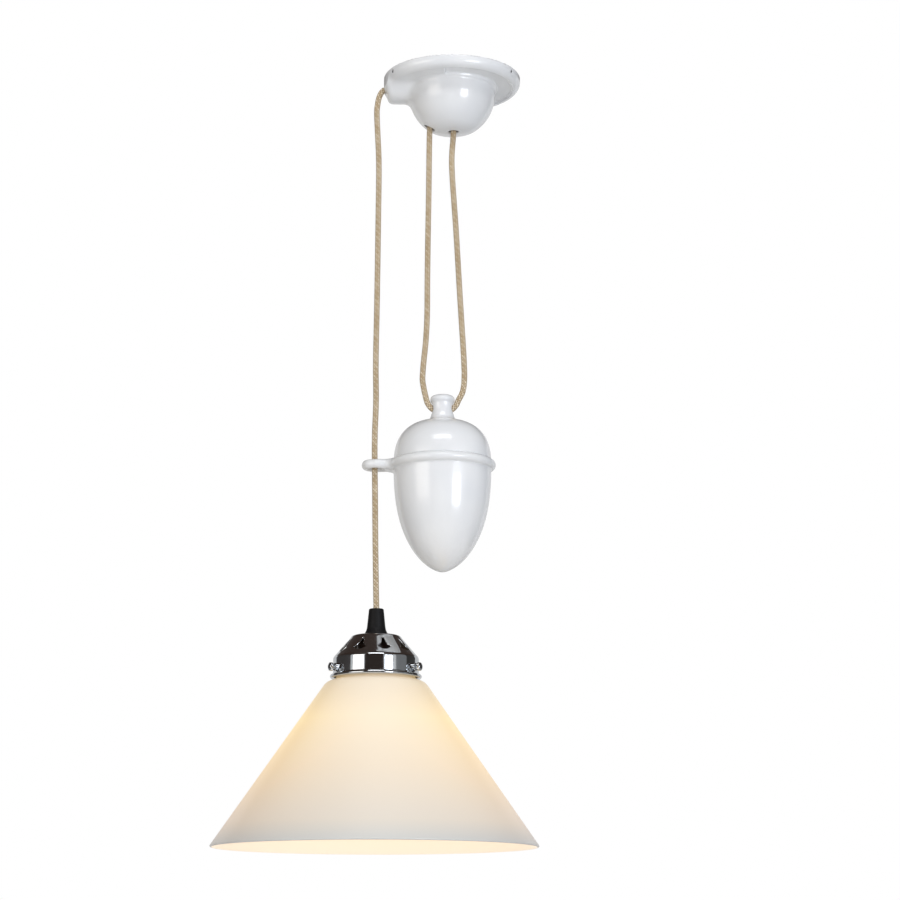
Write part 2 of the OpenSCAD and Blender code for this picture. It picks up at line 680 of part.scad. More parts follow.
// Outline of a pierced hole: a blunt point at the top, hollow sides and a bulging foot
function pierced_outline(w, h) = concat(
    bend([w / 12, h * 0.54], [w / 10, h * -0.04], [w / 2, -h / 5], 6),
    bend([w / 2, -h / 5], [0, h * -0.72], [-w / 2, -h / 5], 8),
    bend([-w / 2, -h / 5], [w / -10, h * -0.04], [-w / 12, h * 0.54], 6),
    [[-w / 12, h * 0.54]]
);
// The shell of the gallery made smaller by s
module gallery_form(s) {
    rotate_extrude($fn = 96) polygon([
        [0, gallery_z - s], [grip_foot_r, gallery_z - s], [crown_r - 2 - s * 0.3, gallery_z - 0.7 - s],
        [crown_r - s * 0.8, gallery_z - 1.9 - s * 0.7], [belt_r - 1.8 - s, belt_top_z + 1.9],
        [belt_r - 0.5 - s, belt_top_z + 0.3], [belt_r - s, belt_top_z - 1.2],
        [belt_r - s, belt_foot_z - s * 3], [0, belt_foot_z - s * 3]
    ]);
}
module gallery() {
    slope_a = atan2(cone_h, belt_r - crown_r);
    mid_r = (crown_r + belt_r) / 2 - 0.3;
    mid_z = (gallery_z - 1.9 + belt_top_z) / 2;
    color([0.75, 0.76, 0.78]) at_lamp() difference() {
        union() {
            gallery_form(0);
            rotate_extrude($fn = 96) translate([belt_r + roll_r - gallery_t, belt_foot_z]) circle(r = roll_r, $fn = 32);
        }
        gallery_form(gallery_t);
        disc(nipple_r + fit, gallery_z + 1, gallery_z - 3);
        for (k = [0 : hole_count - 1]) rotate([0, 0, -90 + hole_turn + 360 * k / hole_count])
            translate([mid_r, 0, mid_z]) rotate([0, 90 - slope_a, 0]) rotate([90, 0, 90])
                translate([0, 0, -5]) linear_extrude(10) polygon(pierced_outline(hole_w, hole_h));
        for (a = rim_angles) spoke(a, screw_z, thumb_r + fit, belt_r - 4, belt_r + 2);
    }
}
module screw_bosses() {
    color([0.75, 0.76, 0.78]) at_lamp() for (a = rim_angles) difference() {
        spoke(a, screw_z, boss_r, belt_r - 0.8, boss_end);
        disc(belt_r, screw_z - 6, screw_z + 6, $fn = 96);
        spoke(a, screw_z, thumb_r + fit, belt_r - 4, boss_end + 1);
    }
}
// A thumb screw: plain shank, knurled head and a small end button
module thumb_screw(a) {
    head_end = head_start + thumb_head_len;
    color([0.75, 0.76, 0.78]) at_lamp() {
        spoke(a, screw_z, thumb_r, glass_waist_r + seat, head_start + 1);
        rotate([0, 0, a]) translate([head_start, 0, screw_z]) rotate([0, 90, 0]) difference() {
            union() {
                cylinder(r = thumb_head_r * 0.62, h = 1.2, $fn = 32);
                translate([0, 0, 1]) cylinder(r = thumb_head_r, h = thumb_head_len - 2, $fn = 32);
                translate([0, 0, thumb_head_len - 1.01]) cylinder(r = thumb_head_r * 0.7, h = 1, $fn = 32);
            }
            for (k = [0 : 11]) rotate([0, 0, 30 * k]) translate([thumb_head_r + 0.25, 0, 0.5])
                cylinder(r = 0.7, h = head_end, $fn = 16);
        }
    }
}
module thumb_screw_left() { thumb_screw(rim_angles[1]); }
module thumb_screw_right() { thumb_screw(rim_angles[0]); }
module thumb_screw_back() { thumb_screw(rim_angles[2]); }
module lampholder_cap() {
    z = holder_top_z;
    color([0.12, 0.1, 0.09]) at_lamp() difference() {
        rotate_extrude() polygon(concat(
            [[0, z]], arc([holder_r - 6, z - 6], 6, 90, 0, 6), [[holder_r, body_top_z], [0, body_top_z]]
        ));
        rotate_extrude() polygon(concat(
            [[0, z - holder_t]], arc([holder_r - 6, z - 6], 6 - holder_t, 90, 0, 6),
            [[holder_r - holder_t, body_top_z - 1], [0, body_top_z - 1]]
        ));
        disc(nipple_r + fit, z + 1, z - holder_t - 1);
    }
}
insert_r = holder_r - holder_t - seat;
insert_z = body_top_z + 8;
module lampholder_insert() {
    color("white") at_lamp() difference() {
        union() {
            disc(insert_r, insert_z, body_top_z);
            disc(shell_r - 1, body_top_z, contact_z + 2);
        }
        for (s = [-1, 1]) {
            translate([s * 10, 0, 0]) disc(1.5 + fit, insert_z + 1, body_top_z + 1);
            translate([s * 6, 0, 0]) disc(wire_r + 0.3, insert_z + 1, insert_z - 4);
        }
    }
}
module insert_screws() {
    color("goldenrod") at_lamp() for (s = [-1, 1]) translate([s * 10, 0, 0]) {
        disc(1.5, insert_z + 0.1, body_top_z + 2);
        disc(2.4, insert_z + 0.05, insert_z + 1.8);
    }
}
module lampholder_body() {
    color([0.12, 0.1, 0.09]) at_lamp() difference() {
        union() {
            disc(holder_r, body_top_z, body_foot_z);
            disc(holder_r + 1.2, body_foot_z + 5, body_foot_z);
        }
        disc(holder_r - holder_t, body_top_z + 1, body_foot_z + 2);
        disc(shell_r + shell_t + fit, body_top_z, body_foot_z - 1);
    }
}
module thread_shell() {
    color("goldenrod") at_lamp() disc(shell_r + shell_t, body_top_z, body_foot_z + 1, shell_r);
}
module centre_contact() {
    color("goldenrod") at_lamp() disc(3.5, contact_z + 2, contact_z + seat);
}
module lamp_cores() {
    for (s = [-1, 1]) color(s < 0 ? "saddlebrown" : "steelblue") at_lamp()
        tube([
            [s * 1.5, 0, holder_top_z - 3.05], [s * 1.5, 0, holder_top_z - 4.5],
            [s * 6, 0, insert_z + 1], [s * 6, 0, insert_z - 3]
        ], wire_r, cord_sides);
}

// ---------- shade and bulb ----------
shade_foot_z = gallery_z - shade_h;
shoulder_z = belt_foot_z - roll_r - 6;
shoulder_r = belt_r + 8.3;
shade_a = atan2(shoulder_z - shade_foot_z, shade_r - shoulder_r);
glass_across = glass_t / sin(shade_a);     // the glass's thickness measured level
module glass_shade() {
    neck_top_z = neck_foot_z + neck_bead_h;
    rim_r = glass_t / 2;
    color([0.98, 0.95, 0.88, 0.9]) at_lamp() rotate_extrude($fn = 128) polygon(concat(
        [[glass_waist_r - glass_t, neck_top_z], [glass_neck_r - 1.2, neck_top_z]],
        arc([glass_neck_r - 1.2, neck_top_z - 1.2], 1.2, 60, 0, 3),
        [
            [glass_neck_r, neck_foot_z + 0.8], [glass_neck_r - 0.6, neck_foot_z],
            [glass_waist_r + 0.4, neck_foot_z], [glass_waist_r, neck_foot_z - 0.6], [glass_waist_r, belt_foot_z + 1],
            [glass_waist_r + 1.2, belt_foot_z - roll_r], [belt_r + 0.6, shoulder_z + 4],
            [belt_r + 4.6, shoulder_z + 2.6], [shoulder_r, shoulder_z]
        ],
        arc([shade_r - rim_r, shade_foot_z + rim_r], rim_r, 90 - shade_a, -90, 5),
        arc([shade_r - glass_across + rim_r, shade_foot_z + rim_r], rim_r, -90, -90 - shade_a, 4),
        [
            [shoulder_r - glass_across, shoulder_z], [belt_r + 2.6 - glass_t, shoulder_z + 0.4],
            [belt_r - 1.4 - glass_t, shoulder_z + 2.4], [glass_waist_r - glass_t, belt_foot_z - roll_r - 0.4]
        ]
    ));
}
module bulb_cap() {
    color("silver") at_lamp() difference() {
        union() {
            for (k = [0 : 4]) rotate_extrude() translate([0, contact_z - 7 - 3 * k])
                polygon([[0, 1.5], [cap_r - 0.9, 1.5], [cap_r, 0], [cap_r - 0.9, -1.5], [0, -1.5]]);
            disc(cap_r - 0.5, contact_z - 20, contact_z - bulb_cap_h);
            translate([0, 0, contact_z - 5.6]) cylinder(r1 = cap_r - 0.9, r2 = 6, h = 3.6);
        }
        disc(3.5, contact_z, contact_z - 4);
        disc(cap_r - 1.6, contact_z - 8, contact_z - bulb_cap_h - 1);
    }
}
module bulb_contact() {
    color("goldenrod") at_lamp() disc(3.5 - fit, contact_z, contact_z - 4 + fit);
}
// Outline of the bulb's glass, made smaller by s
function bulb_outline(s) = let (top = contact_z - bulb_cap_h) concat(
    [
        [0, top + 2 + s], [cap_r - 1.7 - s, top + 2 + s], [cap_r - 1.7 - s, top],
        [cap_r - 0.6 - s, top - 0.1], [cap_r - 0.2 - s, top - 6], [cap_r + 2 - s, top - 14]
    ],
    arc([0, bulb_c_z], bulb_r - s, 35, -90, 14)
);
module bulb_glass() {
    color([1, 0.95, 0.8, 0.8]) at_lamp() difference() {
        rotate_extrude() polygon(bulb_outline(0));
        rotate_extrude() polygon(bulb_outline(bulb_wall));
    }
}
module bulb_stem() {
    top = contact_z - bulb_cap_h;
    color([0.9, 0.9, 0.9]) at_lamp() {
        disc(cap_r - 1.7 - bulb_wall - fit, top + 2, top + 1);
        disc(2.5, top + 5, top - 22);
        for (s = [-1, 1]) translate([s * 1.6, 0, top - 21.5]) rotate([0, s * 160, 0])
            cylinder(r = 0.5, h = 20, $fn = 16);
    }
}
module bulb_filament() {
    top = contact_z - bulb_cap_h;
    color("orange") at_lamp() translate([0, 0, top - 41]) rotate([0, 90, 0]) disc(0.7, -8, 8, $fn = 16);
}

ceiling_rose();
back_plate();
grub_screws();
supply_grommet();
earth_screw();
pulley_yoke();
pulley_axle();
yoke_screws();
rose_pulley();
pulley_bush();
cord_clamp_block();
cord_clamp_saddle();
clamp_screws();
terminal_block();
terminal_screws();
core_leads();
cord_rose_tail();
cord_over_pulley();
strand_fixed();
strand_running();
lamp_cord();
counterweight_cap();
counterweight_cup();
cement_ring();
lead_shot();
felt_wad();
cord_loop();
cord_grip();
lamp_cord_end();
nipple();
lock_nut();
gallery();
screw_bosses();
thumb_screw_left();
thumb_screw_right();
thumb_screw_back();
lampholder_cap();
lampholder_insert();
insert_screws();
lampholder_body();
thread_shell();
centre_contact();
lamp_cores();
glass_shade();
bulb_cap();
bulb_contact();
bulb_glass();
bulb_stem();
bulb_filament();
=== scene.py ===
# %% [markdown]
# # A rise and fall pendant, dressed in Blender
#
# The lamp hangs from a china rose on the ceiling. Its braided cord runs over a pulley inside the rose, and a china
# counterweight hangs in the other end of the same cord, so the lamp stays at any height. The solids come ready made
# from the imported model; this lesson builds the pieces whose look matters over them, and gives every piece its finish.
# The pieces' lengths are millimetres, as a maker would write them, and `MM` turns them into Blender's metres. The
# camera, the cards and the lamps of the studio are placed in metres.

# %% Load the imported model
import json
import math

import bmesh
import bpy
import numpy as np
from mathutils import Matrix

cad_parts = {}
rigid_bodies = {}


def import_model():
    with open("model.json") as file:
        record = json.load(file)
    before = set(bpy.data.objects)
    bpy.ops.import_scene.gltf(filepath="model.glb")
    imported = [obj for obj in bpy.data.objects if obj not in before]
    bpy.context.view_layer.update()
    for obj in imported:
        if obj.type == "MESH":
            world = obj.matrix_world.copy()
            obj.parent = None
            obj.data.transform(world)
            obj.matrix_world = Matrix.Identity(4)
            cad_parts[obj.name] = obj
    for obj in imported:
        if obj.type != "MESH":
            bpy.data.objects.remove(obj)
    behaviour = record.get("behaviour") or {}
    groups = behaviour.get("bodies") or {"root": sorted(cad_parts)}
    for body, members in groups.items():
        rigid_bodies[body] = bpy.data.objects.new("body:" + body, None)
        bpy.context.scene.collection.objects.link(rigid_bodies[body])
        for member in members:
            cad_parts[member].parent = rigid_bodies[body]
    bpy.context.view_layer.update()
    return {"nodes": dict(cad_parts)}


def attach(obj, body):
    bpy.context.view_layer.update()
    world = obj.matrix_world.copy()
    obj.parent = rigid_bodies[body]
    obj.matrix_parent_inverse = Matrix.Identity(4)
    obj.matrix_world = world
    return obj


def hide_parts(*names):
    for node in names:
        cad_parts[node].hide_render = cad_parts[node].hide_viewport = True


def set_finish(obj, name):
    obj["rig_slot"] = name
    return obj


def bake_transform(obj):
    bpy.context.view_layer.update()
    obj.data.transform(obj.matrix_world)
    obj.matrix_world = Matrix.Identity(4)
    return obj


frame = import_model()
MM = 0.001
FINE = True
scene = bpy.context.scene
scene.view_settings.view_transform = "Standard"

# %% [markdown]
# ## The camera
#
# The photograph looks up at the pendant: the rose shows its underside and the shade's rim is almost edge on. A camera
# could be placed by eye, but the heights of the rose, the bead and the rim give it exactly: it stands 2.4 m away, a
# little lower than the rim, and leans back by 12.3 degrees. A long lens keeps the sides as straight as they look.

# %% Camera
camera = bpy.data.objects.new("camera", bpy.data.cameras.new("camera"))
camera.data.sensor_width = 36
camera.data.lens = 93.44
camera.location = (-0.00215, -2.370, -0.923)
camera.rotation_euler = (math.radians(90 + 12.27), 0, 0)
scene.collection.objects.link(camera)
scene.camera = camera

# %% [markdown]
# ## Making a mesh from arrays
#
# Most pieces here are computed with numpy, so one helper turns points and faces into a smooth shaded object. Where
# the true direction of the surface is known, it is stored as the mesh's own normals, because glaze shows every flaw
# in guessed ones. Where it isn't, edges sharper than a given angle stay crisp.


# %% Mesh helper
def make_object(name, points, faces, normals=None, sharp=None):
    mesh = bpy.data.meshes.new(name)
    mesh.from_pydata((np.asarray(points) * MM).tolist(), [], [list(f) for f in faces])
    mesh.validate()
    mesh.shade_smooth()
    if sharp:
        mesh.set_sharp_from_angle(angle=math.radians(sharp))
    if normals is not None:
        mesh.normals_split_custom_set_from_vertices(normals.tolist())
    piece = bpy.data.objects.new(name, mesh)
    scene.collection.objects.link(piece)
    print(f"{name}: {len(mesh.vertices)} points, {len(mesh.polygons)} faces")
    return piece


# %% [markdown]
# ## The cords
#
# The cord is round flex in a braided cotton sleeve, 6 mm thick. Three stretches hang free: one from the rose's spout
# through the eyelet to the lamp, and two between the rose and the counterweight, joined by the loop through its
# finial. A bevelled curve would give a bare tube. Here the sleeve's twelve yarn bundles, six each way, are raised in
# the mesh itself, because they give the cord its speckled edge even from afar. The routes repeat the solids' own.

# %% Routes of the cord
LAMP_ROUTE = [
    (-72.3, -11.4), (-75.8, -15), (-78.4, -21), (-79.7, -28), (-80.5, -38), (-79.6, -60), (-78, -97), (-78.3, -166),
    (-79, -249), (-79.8, -314), (-79.3, -355), (-80.4, -400), (-79.6, -458), (-78.8, -513), (-78, -552),
    (-77.5, -573.8),
]
LOOP_CENTRE, LOOP_R = (-10, -350.5), 17
RUNNING = [
    (-21.9, -44), (-23.8, -57), (-24.3, -80), (-24.6, -110), (-25, -145), (-25.6, -185), (-26, -225), (-26.2, -262),
    (-27.5, -290), (-29.8, -314), (-30.9, -331), (-30, -339), (-28.4, -347),
]
FIXED = [
    (10.5, -347), (12.3, -339), (12.9, -328), (12.7, -318), (11.6, -296), (10, -270), (8.2, -240), (6.3, -206),
    (4.4, -172), (2.4, -142), (0.6, -115), (-0.3, -90), (1.5, -62), (2, -50),
]
TAIL = [FIXED[-1], (3, -38), (4.5, -27), (7, -18), (11, -12), (16, -9.2), (20, -9), (24.5, -9)]
PULLEY_CENTRE, PITCH_R = (-30, -18), 11


def arc(centre, radius, angles):
    """Points (x, z) of a circle seen from the front, at angles in degrees."""
    return [(centre[0] + radius * math.cos(a), centre[1] + radius * math.sin(a)) for a in map(math.radians, angles)]


LOOP = arc(LOOP_CENTRE, LOOP_R, range(195, 346, 15))
WRAP = [
    RUNNING[0], (-21.5, -39), *arc(PULLEY_CENTRE, PITCH_R, (-7, 10, 27, 44, 61, 78, 96)), (-52, -9.3), LAMP_ROUTE[0],
]
CORD_D = 6
RING_STEP = 0.6 if FINE else 1.5
CORD_SIDES = 24
YARNS = 6
LAY = 19


# %% Braided cord
def smooth_route(route):
    """A smooth line through (x, z) points, with a point every RING_STEP, and how far along each point lies."""
    p = np.array(route, float)
    p = np.vstack([p[0], p, p[-1]])
    t = np.linspace(0, 1, 40, endpoint=False)[:, None]
    dense = [
        0.5 * (2 * b + (c - a) * t + (2 * a - 5 * b + 4 * c - d) * t**2 + (3 * b - a - 3 * c + d) * t**3)
        for a, b, c, d in zip(p, p[1:], p[2:], p[3:])
    ]
    dense = np.vstack([*dense, p[-1:]])
    along = np.concatenate([[0], np.cumsum(np.linalg.norm(np.diff(dense, axis=0), axis=1))])
    even = np.linspace(0, along[-1], round(along[-1] / RING_STEP))
    x, z = (np.interp(even, along, dense[:, k]) for k in (0, 1))
    return np.stack([x, 0 * x, z], axis=1), even


def braid(turn, along):
    """Height of the sleeve from 0 in a gap to 1.5 on a crossing, and a tone from 0 to 1 for the bundle on top.

    Every other right-hand bundle is of the lightest yarn, and every other left-hand bundle of the darkest."""
    right, left = YARNS * (turn + along / LAY), YARNS * (turn - along / LAY)
    near_right, near_left = np.round(right), np.round(left)
    up_right = np.cos(np.pi * (right - near_right)) + 0.5 * np.cos(np.pi * (left + near_right))
    up_left = np.cos(np.pi * (left - near_left)) - 0.5 * np.cos(np.pi * (right + near_left))
    tone = np.where(up_right > up_left, 0.6 + 0.4 * (near_right % 2), 0.2 + 0.35 * (near_left % 2))
    return np.maximum(up_right, up_left), tone


def braided_cord(name, route):
    centre, along = smooth_route(route)
    tangent = np.gradient(centre, axis=0)
    tangent /= np.linalg.norm(tangent, axis=1)[:, None]
    side = np.array([0.0, 1.0, 0.0])
    out = np.cross(tangent, side)
    turn = np.arange(CORD_SIDES) / CORD_SIDES
    height, tone = braid(turn[None, :], along[:, None])
    ring = np.cos(2 * np.pi * turn)[None, :, None] * out[:, None, :] + np.sin(2 * np.pi * turn)[None, :, None] * side
    radius = CORD_D / 2 + 0.2 * (height - 1)
    points = (centre[:, None, :] + radius[:, :, None] * ring).reshape(-1, 3)
    index = np.arange(len(points)).reshape(len(centre), CORD_SIDES)
    after = np.roll(index, -1, axis=1)
    faces = np.stack([index[:-1], index[1:], after[1:], after[:-1]], axis=-1).reshape(-1, 4)
    cord = make_object(name, points, [*faces.tolist(), index[0].tolist(), index[-1, ::-1].tolist()])
    for label, values in (("yarn_height", height), ("yarn_tone", tone)):
        cord.data.attributes.new(label, "FLOAT", "POINT").data.foreach_set("value", values.astype(np.float32).ravel())
    return cord, (centre * MM).tolist(), along[-1] * MM


# %% [markdown]
# The lamp's cord is held by the rose at its top and by the lamp at its foot. The counterweight's two strands and the
# loop are one piece. Both are built in place along their routes.

# %% Free cords
for name, route, top, foot, body, nodes in (
    ("lamp_flex", LAMP_ROUTE, LAMP_ROUTE[0][1], LAMP_ROUTE[-1][1], "lamp", ["lamp_cord"]),
    ("weight_flex", RUNNING + LOOP + FIXED, -5, -355, "counterweight", ["strand_running", "cord_loop", "strand_fixed"]),
):
    flex, centre_line, length = braided_cord(name, route)
    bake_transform(flex)
    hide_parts(*nodes)
    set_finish(flex, "cord_braid")
    print(name, "is", round(length, 4), "m long")

# %% Cord inside the rose
for name, route, node_name in (("wrap_flex", WRAP, "cord_over_pulley"), ("tail_flex", TAIL, "cord_rose_tail")):
    piece = braided_cord(name, route)[0]
    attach(piece, "rose")
    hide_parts(node_name)
    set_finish(piece, "cord_braid")

# %% [markdown]
# ## China by fields
#
# The rose and the counterweight are slip cast and glazed, so no edge on them is sharp: forms flow into each other with
# small hollow fillets. Booleans and bevels could make that, but they break where three forms meet. A field is simpler:
# one function says how far any point in space is from the surface, below zero inside. Two fields join by their minimum
# and one cuts another by the maximum, and a softened minimum or maximum gives the glaze's fillet of any radius.


# %% Softened joins and cuts
def soft_max(a, b, k):
    h = np.maximum(k - np.abs(a - b), 0) / k
    return np.maximum(a, b) + h * h * k / 4


def soft_min(a, b, k):
    return -soft_max(-a, -b, k)


def slope_of(field, points, reach=0.05):
    """Which way the field grows at each point, by differences over a small reach."""
    return np.stack([(field(points + d) - field(points - d)) / (2 * reach) for d in np.eye(3) * reach], axis=-1)


# %% [markdown]
# The skin of a field is found on a grid of small cubes: every cube that the surface passes through gets one point, and
# every grid edge that crosses the surface gets one four-sided face. Each point is then moved onto the true surface, and
# the slope of the field there gives an exact normal.


# %% Skin of a field
def skin(name, field, low, high):
    step = 1.0 if FINE else 2.0
    grid = np.stack(np.meshgrid(*[np.arange(a, b + step, step) for a, b in zip(low, high)], indexing="ij"), axis=-1)
    value = field(grid)
    inside, shape = value < 0, value.shape
    cells, crossings, faces = [], [], []
    for k in range(3):
        start, end = [slice(None)] * 3, [slice(None)] * 3
        start[k], end[k] = slice(None, -1), slice(1, None)
        cross = inside[tuple(start)] != inside[tuple(end)]
        before, beyond = value[tuple(start)][cross], value[tuple(end)][cross]
        crossing = grid[tuple(start)][cross] + (before / (before - beyond) * step)[:, None] * np.eye(3)[k]
        at, u, v = np.argwhere(cross), (k + 1) % 3, (k + 2) % 3
        corners = []
        for du, dv in ((0, 0), (1, 0), (1, 1), (0, 1)):
            cell = at.copy()
            cell[:, u] -= du
            cell[:, v] -= dv
            corners.append(np.ravel_multi_index(cell.T, shape))
            crossings.append(crossing)
        cells += corners
        corners = np.stack(corners, axis=-1)
        faces.append(np.where((beyond < 0)[:, None], corners[:, ::-1], corners))
    used, index = np.unique(np.concatenate(cells), return_inverse=True)
    crossings = np.concatenate(crossings)
    points = np.stack([np.bincount(index, crossings[:, k]) for k in range(3)], axis=-1)
    points /= np.bincount(index)[:, None]
    for _ in range(3):
        slope = slope_of(field, points)
        move = field(points) / np.maximum((slope**2).sum(axis=1), 0.2)
        points -= np.clip(move, -step / 2, step / 2)[:, None] * slope
    slope = slope_of(field, points)
    normals = slope / np.linalg.norm(slope, axis=1)[:, None]
    return make_object(name, points, np.searchsorted(used, np.vstack(faces)).tolist(), normals=normals)


# %% [markdown]
# ## The ceiling rose
#
# A round flange sits on the ceiling, and a dome hangs from it over the pulley. A low spout grows out of the dome to the
# left and carries the lamp's cord clear of the counterweight. It is one casting, hollow inside with a wall of 3.5 mm,
# open at the top, with two holes under the dome and one at the end of the spout. A shallow step is moulded round the
# right half of the flange.

# %% Rose
ROSE_R, FLANGE_H, LIP_R, WALL, RIM_T = 73, 12, 8, 3.5, 4.5
DOME_R, DOME_C, DOME_H = 46, 17.5, 60.5
SPOUT_H, SPOUT_R, SPOUT_LEAN = 27, 24, 0.4
RECESS_Z, PLATE_IN_Z = -9.8, -6.3
GROOVE_R, GROOVE_HALF, GROOVE_ROUND = 56, 6.5, 2
CORD_HOLES_X, CORD_HOLE_R = (-24, 1.5), 5
EXIT_DROP, EXIT_R = 11.5, 4.5
RIM_ANGLES, RIM_HOLE_DROP, RIM_HOLE_R = (-30, -150, 90), 4.5, 1.6


def spout_field(x, y, z, inset):
    """A round barrel out of the dome to the left, whose end drops from the rim and leans back."""
    barrel = np.hypot(y, z + SPOUT_H - SPOUT_R) - SPOUT_R + inset
    lean = SPOUT_LEAN * np.maximum(-z - FLANGE_H, 0)
    end = (np.hypot(x, y) - ROSE_R + inset + lean) / math.hypot(1, SPOUT_LEAN)
    return np.maximum(soft_max(soft_max(end, -z - SPOUT_H + inset, 5), barrel, 4), x + 8)


def rose_field(p):
    x, y, z = p[..., 0], p[..., 1], p[..., 2]
    out = np.hypot(x, y)
    side, foot = out - ROSE_R + LIP_R, -z - FLANGE_H + LIP_R
    lip = np.hypot(np.maximum(side, 0), np.maximum(foot, 0)) - LIP_R + np.minimum(np.maximum(side, foot), 0)
    groove = np.hypot(
        np.maximum(np.abs(out - GROOVE_R) - GROOVE_HALF, 0), np.maximum(z - RECESS_Z + GROOVE_ROUND, 0)
    ) - GROOVE_ROUND
    flange = soft_max(lip, -soft_max(groove, -x - 7, 2), 1.5)
    ball = np.hypot(out, z + DOME_C)
    dome = soft_max(ball - DOME_R, -z - DOME_H, 6)
    solid = soft_min(soft_min(flange, dome, 5), spout_field(x, y, z, 0), 8)
    solid = np.maximum(solid, out - ROSE_R)
    hollow = np.maximum(out - ROSE_R + RIM_T, PLATE_IN_Z - z)
    hollow = np.minimum(hollow, soft_max(ball - DOME_R + WALL, -z - DOME_H + WALL, 3))
    hollow = soft_min(hollow, spout_field(x, y, z, WALL), 3)
    solid = soft_max(solid, -hollow, 1.2)
    for hole_x in CORD_HOLES_X:
        solid = soft_max(solid, -np.maximum(np.hypot(x - hole_x, y) - CORD_HOLE_R, z + 40), 2.5)
    solid = soft_max(solid, -np.maximum(np.hypot(y, z + EXIT_DROP) - EXIT_R, x + 60), 1.5)
    for angle in np.radians(RIM_ANGLES):
        beside = x * math.sin(angle) - y * math.cos(angle)
        ahead = x * math.cos(angle) + y * math.sin(angle)
        solid = np.maximum(solid, -np.maximum(np.hypot(beside, z + RIM_HOLE_DROP) - RIM_HOLE_R, 60 - ahead))
    return np.maximum(solid, z)


rose = skin("rose_china", rose_field, (-75, -75, -64), (75, 75, 2))
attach(rose, "rose")
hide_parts("ceiling_rose")
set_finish(rose, "china")

# %% [markdown]
# ## The counterweight
#
# Two china halves, cemented together and filled with lead shot. The cup below is deep and narrows to a blunt point; it
# carries a half-round bead at its mouth and an arm that ends in the eyelet which keeps the lamp's cord in line. The cap
# above rises to a finial like a cotton reel, pierced by a curved hole for the cord's loop. Both outlines are powers of
# the height, as the solids have them.

# %% Counterweight
WEIGHT_X, BEAD_Z, WEIGHT_R, WEIGHT_WALL = -10, -424, 50.6, 5
CAP_H, CAP_POWER, CUP_H, CUP_POWER, CUP_TAPER = 48, 2.6, 112, 2.45, 0.6
BEAD_T, EYELET_X, EYELET_R, EYELET_W, EYELET_H, ARM_W = 4.7, 69.5, 6.5, 7.7, 10, 24
SEAM_Z = BEAD_Z + BEAD_T + 0.05
REGISTER_R, REGISTER_IN_R, REGISTER_H = 43.8, 40.3, 7
CAP_WALL, TUNNEL_R = 5.3, 4
FINIAL_TOP, FINIAL_FOOT, FINIAL_DEPTH = BEAD_Z + 74.6, 41, 34


def power_field(out, height, radius, reach, out_power, height_power):
    """Distance to the outline (out / radius)^out_power + (height / reach)^height_power = 1, near enough."""
    a, b = np.maximum(out, 1e-6) / radius, np.maximum(height, 0) / reach
    across = out_power / radius * a ** (out_power - 1)
    along = height_power / reach * b ** (height_power - 1)
    return (a**out_power + b**height_power - 1) / np.maximum(np.hypot(across, along), 0.3 / radius)


def cup_field(p):
    x, y, z = p[..., 0] - WEIGHT_X, p[..., 1], p[..., 2]
    out, drop = np.hypot(x, y), BEAD_Z - z
    bowl = soft_max(power_field(out, drop, WEIGHT_R, CUP_H, 1 / CUP_TAPER, CUP_POWER), z - SEAM_Z + 0.05, 1.6)
    bead = np.hypot(out - WEIGHT_R, drop) - BEAD_T
    bowl = soft_min(bowl, bead, 1.5)
    ring = np.hypot(x + EYELET_X, y) - EYELET_R - EYELET_W
    lean = (ARM_W / 2 - EYELET_R - EYELET_W) / (EYELET_X - WEIGHT_R)
    web = np.maximum(np.abs(y) - ARM_W / 2 - lean * (x + WEIGHT_R), np.maximum(-EYELET_X - x, x + 40))
    plan = soft_max(soft_min(ring, web, 3), EYELET_R - np.hypot(x + EYELET_X, y), 3.5)
    arm = np.hypot(np.maximum(plan + EYELET_H / 2, 0), drop) - EYELET_H / 2
    bowl = soft_min(bowl, arm, 6)
    register = np.maximum(out - REGISTER_R, z - SEAM_Z - REGISTER_H)
    bowl = np.minimum(bowl, np.maximum(register, drop))
    hollow = power_field(out, drop, WEIGHT_R - WEIGHT_WALL, CUP_H - WEIGHT_WALL, 1 / CUP_TAPER, CUP_POWER)
    hollow = np.maximum(hollow, z - BEAD_Z)
    return np.maximum(bowl, -np.minimum(hollow, np.maximum(out - REGISTER_IN_R, drop - 2)))


cup = skin("cup_china", cup_field, (-96, -57, -538), (47, 57, -410))
print("cup foot:", round(BEAD_Z - CUP_H, 1))

FINIAL_LINE = [
    (0, 13.4), (5.2, 13.4), (6.8, 12.6), (8.4, 11.3), (12, 10.9), (16, 10.9), (20, 11.5), (24, 12.7), (26, 13.7),
    (28, 16), (FINIAL_DEPTH, 20),
]


